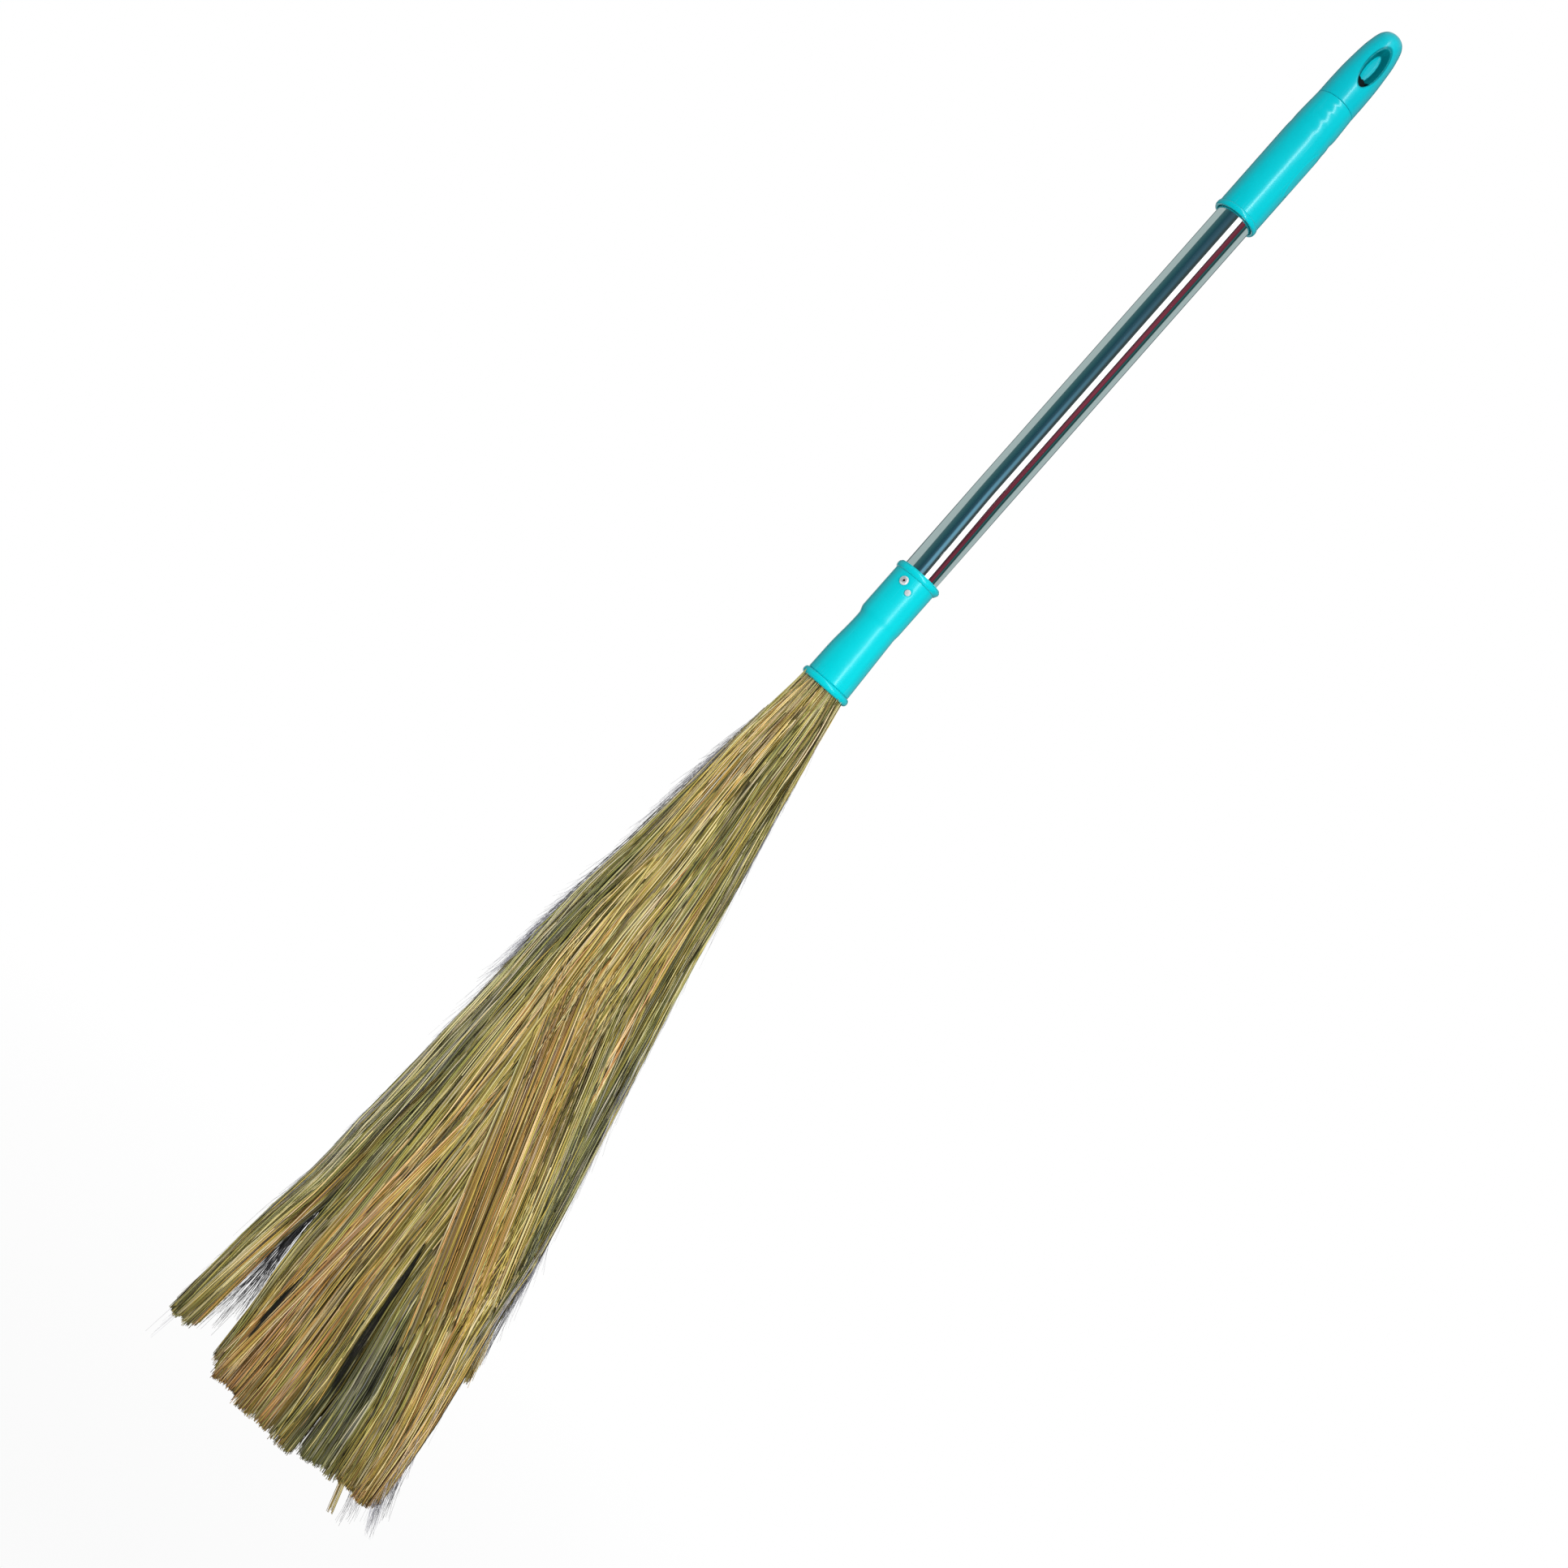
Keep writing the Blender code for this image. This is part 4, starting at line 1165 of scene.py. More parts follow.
class BROOM_OT_fasteners(bpy.types.Operator):
    """Make the blind rivet and the locking nail"""
    bl_idname = "broom.make_fasteners"
    bl_label = "Rivet and nail"

    def execute(self, context):
        s = context.scene.broom.fasteners
        top = reach_of("ferrule")[2]
        seat = reach_of("steel_tube")[0] + context.scene.broom.ferrule.wall
        seat += 2 * context.scene.broom.handle.seat_gap
        rivet = (
            (0.0, s.rivet_height * 0.25, 0.0),
            (s.rivet_dimple * 0.8, s.rivet_height * 0.3, s.rivet_dimple / 3),
            (s.rivet_dimple, s.rivet_height, s.rivet_dimple / 3),
            (s.rivet_radius * 0.62, s.rivet_height * 0.95, s.rivet_radius / 3),
            (s.rivet_radius, s.rivet_height * 0.25, s.rivet_height / 3),
            (s.rivet_radius * 0.96, 0.0, 0.0),
            (s.rivet_shank, 0.0, 0.0),
            (s.rivet_shank, -s.rivet_length, 0.0),
            (0.0, -s.rivet_length, 0.0),
        )
        nail = (
            (0.0, s.nail_height, 0.0),
            (s.nail_radius, s.nail_height, s.nail_height),
            (s.nail_radius, 0.0, 0.0),
            (s.nail_shank, 0.0, 0.0),
            (s.nail_shank, s.nail_shank - s.nail_length, 0.0),
            (0.0, -s.nail_length, 0.0),
        )
        for name, outline, turn, drop, metal in (
            ("rivet", rivet, s.rivet_turn, s.rivet_drop, "rivet_metal"),
            ("locking_nail", nail, s.nail_turn, s.nail_drop, "fastener_metal"),
        ):
            finish = metal_material(metal, s.metal_colour, 0.3, 1.0, 0.00004, 0.5)
            mesh = turned(name, rounded(outline), FASTENER_SIDES, closed=False)
            stand = Matrix.Rotation(turn, 4, "Z") @ Matrix.Translation((0, -seat, top - drop))
            mesh.transform(stand @ Matrix.Rotation(math.pi / 2, 4, "X"))
            if name == "rivet":
                self.rust(s, finish, stand @ Vector((0, -s.rivet_height * 0.3, 0)))
            add_piece(name + "_shell", mesh, finish, [name])
        return {"FINISHED"}

    def rust(self, s, finish, dimple):
        """Adds the rusty stub of the rivet's stem in the dimple."""
        tree, shader, base, rough = reopened(finish)
        far = tree.add("VectorMath", operation="DISTANCE")
        tree.join(tree.place(), far.inputs[0])
        tree.join(dimple, far.inputs[1])
        stub = tree.span(far.outputs["Value"], s.rivet_dimple * 0.9, s.rivet_dimple * 1.1, 1.0, 0.0)
        bright = tree.times(tree.math("SUBTRACT", 1.0, stub), 0.5)
        tree.feed(shader, Base_Color=tree.mix(stub, base, (0.05, 0.012, 0.015)), Metallic=bright)


class BROOM_OT_binding(bpy.types.Operator):
    """Give the hidden binding wires their dull steel"""
    bl_idname = "broom.finish_binding"
    bl_label = "Binding wires"

    def execute(self, context):
        finish = metal_material("binding_steel", linear(150, 146, 138), 0.45, 1.0, 0.00003)
        for name in ("binding_wire_upper", "binding_wire_lower"):
            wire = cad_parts[name]
            wire.data.materials.clear()
            wire.data.materials.append(finish)
        return {"FINISHED"}


def grass_reach():
    """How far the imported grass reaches, and where it leaves the ferrule."""
    boxes = [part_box(row[0]) for row in TUFT_SHARES]
    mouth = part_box("ferrule")[0].z
    return {
        "left": -min(low.x for low, high in boxes),
        "right": max(high.x for low, high in boxes),
        "depth": max(high.y for low, high in boxes),
        "mouth": mouth,
        "length": mouth - min(low.z for low, high in boxes),
    }


def fan_reach(along):
    """Left edge, right edge and half depth of the fan at shares of the grass's length."""
    places, left, right, depth = np.array(FAN_SHARES).T
    reach = grass_reach()
    left = -np.interp(along, places, left) * reach["left"]
    right = np.interp(along, places, right) * reach["right"]
    return left, right, np.interp(along, places, depth) * reach["depth"]


def fibre_mesh(name, paths, widths, facts, flow):
    """Three-sided tubes along the paths, with a strip of the picture map for each fibre.

    All are fibre x step arrays: places, widths, the facts (tint, tone, run) and the flow, which is a place in
    the grass that doesn't turn with the fibre.
    """
    count, steps = widths.shape
    turns = np.arange(FIBRE_SIDES) * (math.tau / FIBRE_SIDES) + math.pi / 2
    around = np.stack((np.cos(turns), np.sin(turns), np.zeros(FIBRE_SIDES)), axis=-1)
    corners = paths[:, :, None, :] + around[None, None] * widths[:, :, None, None] / 2
    index = np.arange(count * steps * FIBRE_SIDES).reshape(count, steps, FIBRE_SIDES)
    on = np.roll(index, -1, axis=2)
    walls = np.stack((index[:, :-1], index[:, 1:], on[:, 1:], on[:, :-1]), axis=-1).reshape(-1, 4)
    loops = np.concatenate((walls.ravel(), index[:, 0].ravel(), index[:, -1, ::-1].ravel()))
    sizes = np.concatenate((np.full(len(walls), 4), np.full(2 * count, FIBRE_SIDES)))
    mesh = bpy.data.meshes.new(name)
    mesh.vertices.add(corners.size // 3)
    mesh.vertices.foreach_set("co", corners.astype(np.float32).ravel())
    mesh.loops.add(len(loops))
    mesh.loops.foreach_set("vertex_index", loops.astype(np.int32))
    mesh.polygons.add(len(sizes))
    mesh.polygons.foreach_set("loop_start", (np.cumsum(sizes) - sizes).astype(np.int32))
    mesh.update(calc_edges=True)
    columns = math.ceil(count / MAP_ROWS)
    fibre = np.repeat(np.arange(count), steps * FIBRE_SIDES)
    run = np.tile(np.repeat(np.linspace(0.02, 0.98, steps), FIBRE_SIDES), count)
    edge = np.tile(np.array((0.25, 0.75, 0.5)), count * steps)
    u = (fibre % columns + edge) / columns
    v = (fibre // columns + run) / MAP_ROWS
    layer = mesh.uv_layers.new(name="OFBake")
    layer.data.foreach_set("uv", np.stack((u[loops], v[loops]), axis=-1).astype(np.float32).ravel())
    for label, values in (("fibre", facts), ("flow", flow)):
        layer = mesh.attributes.new(label, "FLOAT_VECTOR", "POINT")
        layer.data.foreach_set("vector", np.repeat(values, FIBRE_SIDES, axis=1).astype(np.float32).ravel())
    mesh.shade_smooth()
    mesh.validate()
    return mesh


def stacked(sets):
    """Puts several fibre sets into one."""
    return [np.concatenate(group) for group in zip(*sets)]


def rounding(even, least):
    """How far the fan's surface stands out, as a share of its depth, at an even place across it."""
    return np.sqrt(np.clip(1 - (even * 2 - 1) ** 2, least, 1))


def streak_place(row, even, along):
    """How far along a streak a place lies, and how far beside it, both in shares."""
    start_across, start, end_across, end = row[:4]
    run = (along - start) / (end - start)
    return run, even - between(start_across, end_across, run)


class Grass:
    """Draws the fibres of the broom's head, as sets of places, widths, facts and flow."""

    def __init__(self, settings, seed, steps):
        self.s = settings
        self.draw = np.random.default_rng(seed)
        self.reach = grass_reach()
        self.steps = np.linspace(0, 1, steps)
        self.swell = np.sin(math.pi * self.steps)

    def spread_out(self, count):
        """Shares from 0 to 1 that lie evenly, each shifted at random, in random order."""
        return self.draw.permutation((np.arange(count) + self.draw.uniform(0, 1, count)) / count)

    def normals(self, spread, count):
        """A column of normal draws round 0."""
        return self.draw.normal(0, spread, count)[:, None]

    def uniforms(self, low, high, count):
        """A column of even draws."""
        return self.draw.uniform(low, high, count)[:, None]

    def stretch(self, first, last):
        """Where each step of a fibre lies along the grass."""
        return first[:, None] + (last - first)[:, None] * self.steps

    def fibre_set(self, x, y, along, widths, facts, flow=None):
        places = np.stack((x, y, self.down(along)), axis=-1)
        return [places, widths, facts, places if flow is None else flow]

    def across(self, row, place, along):
        """Where a place in a tuft lies across the fan: its even share, and sideways in metres."""
        neck_from, neck_to, end_from, end_to = row[1:5]
        left, right, depth = fan_reach(along)
        even = between(neck_from, neck_to, place)
        end_left, end_right, _ = fan_reach(np.ones(1))
        drawn = between(end_left[0], end_right[0], between(end_from, end_to, place))
        parted = smooth_step(self.s.part_at, 1.0, along)
        return even, between(between(left, right, even), drawn, parted), depth

    def shaded(self, tints, tones, even, along):
        """Adds the broad tints and streaks to the fibres' own tints, with painted shade in the crevices and
        painted light on the left edge.
        """
        for middle, side, long, wide, change, bright in TINT_AND_LIGHT_SHARES:
            weight = np.exp(-(((along - middle) / long) ** 2 + ((even - side) / wide) ** 2))
            tints = tints + change * weight
            tones = tones * between(1.0, bright, weight)
        for row in STREAK_AND_CREVICE_SHADE_SHARES:
            wide, change, bright = row[4:]
            run, beside = streak_place(row, even, along)
            off = beside / (wide * between(0.7, 1.0, np.clip(run, 0, 1)))
            faded = smooth_step(-0.15, 0.25, run) * (1 - smooth_step(0.9, 1.15, run))
            weight = np.exp(-np.minimum(off * off, 30)) * faded
            tints = tints + change * weight
            tones = tones * between(1.0, bright, weight)
        return tints, tones

    def facts(self, tints, tones, x, deep, along, run):
        """What each fibre point carries: its tint, tone and run, and its place in the grass."""
        left, right, _ = fan_reach(along)
        even = (x - left) / (right - left)
        tints, tones = self.shaded(tints, tones, even, along)
        tones = np.broadcast_to(tones, along.shape)
        run = np.broadcast_to(run, along.shape)
        own_place = np.broadcast_to(even.mean(axis=1, keepdims=True) * 0.13, along.shape)
        own_depth = np.broadcast_to(np.mean(deep, axis=1, keepdims=True) * 0.02, along.shape)
        flow = np.stack((own_place, own_depth, along * self.reach["length"]), axis=-1)
        return np.stack((tints, np.clip(tones, 0.05, 2.4), run), axis=-1), flow

    def down(self, along):
        """Height of a place along the grass, which starts a little inside the ferrule's mouth."""
        root = self.s.root_depth
        return self.reach["mouth"] + root - along * (self.reach["length"] + root)

    def own_tones(self, count, groups, spread):
        """Brightness of each fibre, some pale and some nearly black, with a share common to its group."""
        draw = self.draw
        tone = draw.lognormal(0.06, 0.45, count) * draw.lognormal(0, spread, groups.max() + 1)[groups]
        odd = draw.uniform(0, 1, count)
        tone = np.where(odd < 0.10, draw.uniform(1.6, 2.4, count), tone)
        return np.where(odd > 0.86, draw.uniform(0.08, 0.32, count), tone)[:, None]

    def tuft_tints(self, row, along, lock, locks, spread):
        """A tuft's tint from its body to its tips, shifted for each fibre and for each lock."""
        own = self.draw.normal(0, 0.13, len(lock)) + self.draw.normal(0, spread, locks)[lock]
        return between(row[6], row[7], smooth_step(0.45, 0.95, along)) + own[:, None]

    def long_fibres(self, row, count, locks):
        """The fibres that make up a tuft's body and run to its end."""
        s, draw, reach = self.s, self.draw, self.reach
        name, neck_from, neck_to = row[:3]
        outer = name in OUTER_TUFTS
        strand = draw.integers(0, count, count)
        tuft_width = (neck_to - neck_from) * (reach["left"] + reach["right"]) * 0.7
        own = draw.normal(0, s.strand_width, (2, count))
        place = self.spread_out(count)[strand] + own[0] / tuft_width
        inside = draw.uniform(0, 1, count)[strand] ** 1.4
        front = -1 if "front" in name else 1
        side = np.where(draw.uniform(0, 1, count)[strand] < 0.5, -1, 1) if outer else front
        chord = rounding(between(neck_from, neck_to, place), 0.02)
        deep = side * chord * (1 - inside * 0.95)
        lock_place = self.spread_out(locks)
        lock_deep = draw.uniform(-1, 1, locks) if outer else side * draw.uniform(0, 1, locks)
        off = (place[:, None] - lock_place) * (neck_to - neck_from) * 2
        lock = np.argmin(np.hypot(off, (deep[:, None] - lock_deep) * 0.45), axis=1)

        start = np.where(draw.uniform(0, 1, count) < 0.45, 0.0, draw.uniform(0.0, 0.5, count))
        short = np.abs(draw.normal(0, s.ragged, count)) + draw.normal(0, s.ragged * 0.8, locks)[lock]
        along = self.stretch(start, row[5] - short / reach["length"])
        gather = s.gather * smooth_step(0.05, 0.5, along) * draw.uniform(0.3, 1.3, locks)[lock][:, None]
        where = between(place[:, None], lock_place[lock][:, None], gather)
        layer = between(deep[:, None], lock_deep[lock][:, None], gather * 0.8)
        even, x, depth = self.across(row, where, along)

        clipped = np.clip(along, 0, 1)
        wave, second, third = (np.sin(turns * math.pi * clipped) for turns in (1, 2, 3))
        inner = np.minimum(1.0, 4 * np.clip(np.minimum(even, 1 - even), 0, 1) + 0.2)
        sway = draw.normal(0, s.lock_wander, (3, locks))[:, lock, None]
        drift = draw.normal(0, s.wander, (3, count))[:, :, None]
        x = x + (sway[0] * wave + sway[1] * 0.6 * second + sway[2] * 0.35 * third) * inner
        x = x + drift[0] * wave + drift[1] * 0.6 * second
        x = x + self.normals(s.splay, count) * smooth_step(0.86, 1.0, along)
        y = layer * depth + own[1][:, None] + drift[2] * wave * 0.3

        widths = s.width * self.uniforms(0.7, 1.15, count)
        widths = widths * between(0.45, 1.0, smooth_step(0.0, 0.12, along - start[:, None]))
        widths = widths * between(1.0, 0.65, smooth_step(0.9, 1.0, self.steps))
        outward = np.clip(np.abs(layer) / np.maximum(chord[:, None], 0.2), 0, 1)
        # Painted shade: fibres deeper inside the tuft get darker, as the grass around them shades them
        tones = self.own_tones(count, strand, 0.10) * between(s.depth_shade, 1.0, outward**1.5)
        tints = self.tuft_tints(row, along, lock, locks, 0.05)
        facts = self.facts(tints, tones, x, deep[:, None], along, self.steps)
        return self.fibre_set(x, y, along, widths, *facts)

    def sides(self, name, count):
        """-1 in front and 1 behind, at random where the tuft is an outer one."""
        if name in OUTER_TUFTS:
            return self.draw.choice((-1, 1), count)
        return np.full(count, -1 if "front" in name else 1)

    def outer_locks(self, row, count):
        """Locks of shorter fibres that lie slantwise on a tuft's outside and dive back in."""
        s, draw, length = self.s, self.draw, row[5]
        locks = max(1, count // s.lock_size)
        lock = draw.integers(0, locks, count)
        middle = self.spread_out(locks)
        start = draw.uniform(-0.04, 0.74, locks)
        long = draw.uniform(0.14, 0.40, locks)
        side = self.sides(row[0], locks)
        first = np.clip(start[lock] + draw.normal(0, 0.018, count), 0.0, 0.9)
        last = first + long[lock] * draw.uniform(0.7, 1.1, count)
        last = np.minimum(last, length - np.abs(draw.normal(0, 0.004, count)))
        slant = draw.normal(0, s.lock_slant * 0.6, locks)[lock] + draw.normal(0, s.lock_slant * 0.8, count)
        shift = draw.normal(0, s.lock_spread, count)
        along, x, y, deep = self.slanted(row, middle[lock], side[lock], first, last, slant, shift)
        reaches_end = (last > length - 0.02)[:, None]
        taper = np.where(reaches_end, 1.0, between(1.0, 0.35, smooth_step(0.55, 1.0, self.steps)))
        widths = s.width * self.uniforms(0.65, 1.1, count)
        widths = widths * between(0.5, 1.0, smooth_step(0.0, 0.2, self.steps))
        tones = self.own_tones(count, lock, 0.08)
        tints = self.tuft_tints(row, along, lock, locks, 0.07)
        run = np.where(reaches_end, self.steps, 0.5)
        made = self.fibre_set(x, y, along, widths * taper, *self.facts(tints, tones, x, deep, along, run))
        return self.clear_of_crevices(x, along, made)

    def clear_of_crevices(self, x, along, made):
        """The fibres of a set that don't cross one of the dark crevices."""
        left, right, _ = fan_reach(along)
        even = (x - left) / (right - left)
        keep = np.ones(len(along), bool)
        for row in STREAK_AND_CREVICE_SHADE_SHARES:
            if row[6] < CLEAR_BELOW:
                run, beside = streak_place(row, even, along)
                keep &= ~((np.abs(beside) / row[4] < 0.9) & (run > 0.05) & (run < 1.0)).any(axis=1)
        return [part[keep] for part in made]

    def slanted(self, row, place, side, first, last, slant, shift):
        """Paths of fibres that cross the grass at a slant, raised in the middle and sunk at their ends."""
        s = self.s
        along = self.stretch(first, last)
        even, x, depth = self.across(row, place[:, None], along)
        half = (first + last)[:, None] / 2
        x = x + slant[:, None] * (along - half) + shift[:, None] * (0.6 + 0.8 * self.swell)
        left, right, _ = fan_reach(along)
        past = self.draw.exponential(s.edge_spread, (len(place), 1))
        x = np.clip(x, left - past, right + past)
        chord = rounding(np.broadcast_to(even, along.shape), 0.03)
        raised = s.lock_lift * (2.6 * np.sin(math.pi * np.clip(self.steps * 0.85 + 0.1, 0, 1)) - 1.8)
        y = side[:, None] * (chord * depth + raised + self.normals(s.lift_spread, len(place)))
        return along, x, y, side[:, None] * chord

    def loose_locks(self):
        """Single locks that lie over the tufts or stand out at the sides."""
        s, draw = self.s, self.draw
        parts = []
        for start_across, end_across, start_along, end_along, tint, tone, wide in LOOSE_SHARES:
            count = round(wide * s.loose_fibres)
            feathered = 0.060 if end_along < 0.72 else 0.028 if end_across > 0.965 else 0.005
            first = start_along + draw.uniform(-0.10, 0.12, count)
            last = end_along - np.abs(draw.normal(0, feathered, count))
            along = self.stretch(first, last)
            run = (along - start_along) / (end_along - start_along)
            ends = fan_reach(np.array((start_along, end_along)))
            start_x, end_x = between(ends[0], ends[1], np.array((start_across, end_across)))
            left, right, depth = fan_reach(along)
            x = between(start_x, end_x, run) + self.normals(wide / 3, count) * (right - left)
            chord = rounding(np.clip((x - left) / (right - left), 0, 1), 0.0)
            rise = s.lock_lift * (4.0 * np.sin(math.pi * np.clip(self.steps * 0.8 + 0.2, 0, 1)) - 2.0)
            y = -(chord * depth + np.where(chord > 0.4, rise, 0)) + self.normals(s.loose_spread, count)
            widths = s.width * self.uniforms(0.65, 1.1, count)
            widths = widths * between(0.4, 1.0, smooth_step(0.0, 0.2, self.steps))
            widths = widths * between(1.0, 0.6, smooth_step(0.9, 1.0, self.steps))
            tones = tone * self.own_tones(count, np.zeros(count, int), 0.0)
            tints = tint + self.normals(0.13, count) + 0 * along
            facts = self.facts(tints, tones, x, -chord, along, self.steps)
            parts.append(self.clear_of_crevices(x, along, self.fibre_set(x, y, along, widths, *facts)))
        return stacked(parts)

    def short_fibres(self, row):
        """Short fibres on a tuft's outside: most nearly black, painted shade for the dark gaps between
        fibres, the rest pale, painted glints.
        """
        s, draw = self.s, self.draw
        count = round(s.short_fibres * (row[2] - row[1]))
        side = self.sides(row[0], count)
        first = draw.uniform(0.02, 0.92, count)
        last = np.minimum(first + draw.uniform(0.025, 0.095, count), row[5])
        slant = draw.normal(0, s.lock_slant, count)
        place = draw.uniform(0.02, 0.98, count)
        along, x, y, deep = self.slanted(row, place, side, first, last, slant, 0 * slant)
        y = y + side[:, None] * s.lock_lift * 1.5
        widths = s.width * self.uniforms(0.4, 0.85, count) * np.sin(math.pi * between(0.12, 0.88, self.steps))
        # Painted shade: the dark ones stand for shaded gaps between fibres; the pale ones are painted glints
        dark = draw.uniform(0, 1, count) < 0.76
        tones = np.where(dark, draw.uniform(0.03, 0.26, count), draw.uniform(1.3, 1.9, count))[:, None]
        tints = 0.45 + self.normals(0.12, count) + 0 * along
        return self.fibre_set(x, y, along, widths, *self.facts(tints, tones, x, deep, along, 0.5))

    def crevice_shade_fibres(self, row):
        """Nearly black fibres along one of the front's crevices: painted shade that fills the gap."""
        s, draw = self.s, self.draw
        start_across, start, end_across, end, wide = row[:5]
        count = round(wide * s.crevice_shade_fibres)
        first = draw.uniform(-0.05, 0.45, count)
        last = draw.uniform(0.55, 1.02, count)
        run = self.stretch(first, last)
        along = between(start, end, run)
        wedge = between(0.5, 1.0, np.sin(math.pi * np.clip(run, 0, 1)))
        even = between(start_across, end_across, run) + self.normals(wide * 0.34, count) * wedge
        left, right, depth = fan_reach(along)
        y = -(rounding(even, 0.03) * depth + s.lock_lift * (1.2 + 0.8 * self.swell))
        widths = s.width * self.uniforms(0.8, 1.3, count) * np.sin(math.pi * between(0.1, 0.9, self.steps))
        tones = self.uniforms(0.02, 0.10, count) + 0 * along
        facts = np.stack((0.1 + 0 * along, tones, 0.5 + 0 * along), axis=-1)
        return self.fibre_set(between(left, right, even), y, along, widths, facts)

    def marks(self):
        """The short fibres of every tuft, painted shade and glints, and the nearly black fibres of every
        crevice, painted shade.
        """
        parts = [self.short_fibres(row) for row in TUFT_SHARES]
        return stacked(parts + [self.crevice_shade_fibres(row) for row in STREAK_AND_CREVICE_SHADE_SHARES if row[6] < CREVICE_BELOW])

    def hair_set(self, across, deep, along, bow, width, tone):
        """Turns hair paths, given in shares of the fan, into a fibre set."""
        left, right, depth = fan_reach(along)
        x = between(left, right, across) + bow
        widths = width[:, None] * between(1.0, 0.35, self.steps**2)
        facts = np.stack((0 * x, tone[:, None] + 0 * x, 0 * x), axis=-1)
        return self.fibre_set(x, deep * depth, along, widths, facts)

    def outline_hairs(self):
        """Bunches of hairs that leave the left and right outline at a small angle."""
        s, draw = self.s, self.draw
        rows = np.repeat(np.array(HAIR_SHARES), [row[3] for row in HAIR_SHARES], axis=0)
        bunches = len(rows)
        bunch = np.repeat(np.arange(bunches), s.hair_bunch)
        count = len(bunch)
        side = rows[bunch, 0]
        first = draw.uniform(rows[:, 1], rows[:, 2])[bunch] + draw.normal(0, 0.024, count)
        first = np.clip(first, 0.0, 0.95)
        last = first + draw.uniform(0.05, 0.14, bunches)[bunch] * draw.uniform(0.6, 1.2, count)
        along = self.stretch(first, np.minimum(last, 1.0))
        edge = draw.uniform(0.0, 0.03, count)
        across = np.where(side > 0, 1 - edge, edge)[:, None] + 0 * along
        out = rows[bunch, 4] * draw.uniform(0.3, 1.5, bunches)[bunch]
        out = out + np.abs(draw.normal(0, s.hair_stand, count))
        curl = self.normals(s.hair_curl, count) * self.swell
        bow = side[:, None] * (out[:, None] * self.steps**1.4) + curl
        deep = draw.uniform(-0.5, 0.5, bunches)[bunch][:, None] + 0 * along
        width = s.hair_width * draw.uniform(0.6, 1.2, count)
        return self.hair_set(across, deep, along, bow, width, draw.uniform(0.45, 1.25, count))

    def wisps(self):
        """Thin dark fibres that end in the gaps between the tufts."""
        s, draw = self.s, self.draw
        parts = []
        for start_across, end_across, start_along, end_along in WISP_SHARES:
            count = s.wisps
            start = start_across + self.normals(0.006, count)
            end = end_across + self.normals(0.011, count)
            first = start_along + draw.uniform(-0.05, 0.03, count)
            last = end_along - np.abs(draw.normal(0, 0.025, count))
            along = self.stretch(first, last)
            across = start + (end - start) * self.steps**1.3
            bow = self.normals(s.wisp_bow, count) * self.swell
            deep = self.uniforms(-0.3, 0.3, count) + 0 * along
            width = s.hair_width * draw.uniform(0.8, 1.7, count)
            parts.append(self.hair_set(across, deep, along, bow, width, draw.uniform(0.08, 0.45, count)))
        return stacked(parts)


class BROOM_OT_tufts(bpy.types.Operator):
    """Grow the fourteen tufts of grass out of the ferrule"""
    bl_idname = "broom.make_tufts"
    bl_label = "Grass tufts"

    def execute(self, context):
        s = context.scene.broom.grass
        grass = Grass(s, s.seed, s.steps)
        finish = grass_material("grass", s)
        shares = [(row[2] - row[1]) * (OUTER_SHARE if row[0] in OUTER_TUFTS else 1) for row in TUFT_SHARES]
        for row, share in zip(TUFT_SHARES, shares):
            part = share / sum(shares)
            body = grass.long_fibres(row, round(s.fibres * part), max(1, round(s.locks * part)))
            locks = grass.outer_locks(row, round(s.surface_fibres * part))
            mesh = fibre_mesh(row[0], *stacked((body, locks)))
            add_piece(row[0] + "_fibres", mesh, finish, [row[0]])
        add_piece("loose_locks", fibre_mesh("loose_locks", *grass.loose_locks()), finish, [])
        marks = Grass(s, s.seed + 2, s.mark_steps)
        add_piece("dark_fibres", fibre_mesh("dark_fibres", *marks.marks()), finish, [])
        return {"FINISHED"}


class BROOM_OT_hairs(bpy.types.Operator):
    """Add the stray hairs along the outline and the thin wisps in the gaps"""
    bl_idname = "broom.make_hairs"
    bl_label = "Stray hairs"

    def execute(self, context):
        s = context.scene.broom.grass
        grass = Grass(s, s.seed + 1, s.steps)
        mesh = fibre_mesh("stray_hairs", *stacked((grass.outline_hairs(), grass.wisps())))
        add_piece("stray_hairs", mesh, hair_material("stray_hair", s), [])
        return {"FINISHED"}


def background_ray(tree):
    """1 for the rays that see the plain background: from the camera, in gloss and through glass."""
    path = tree.add("LightPath").outputs
    seen = tree.math("MAXIMUM", path["Is Camera Ray"], path["Is Glossy Ray"])
    return tree.math("MAXIMUM", seen, path["Is Transmission Ray"])


def strip_light(name, size, length, power):
    """An area light that the camera doesn't see."""
    light = bpy.data.lights.new(name, "AREA")
    light.shape = "RECTANGLE"
    light.size = size
    light.size_y = length
    light.energy = power
    lamp = bpy.data.objects.new(name, light)
    bpy.context.scene.collection.objects.link(lamp)
    lamp.visible_camera = False
    return lamp


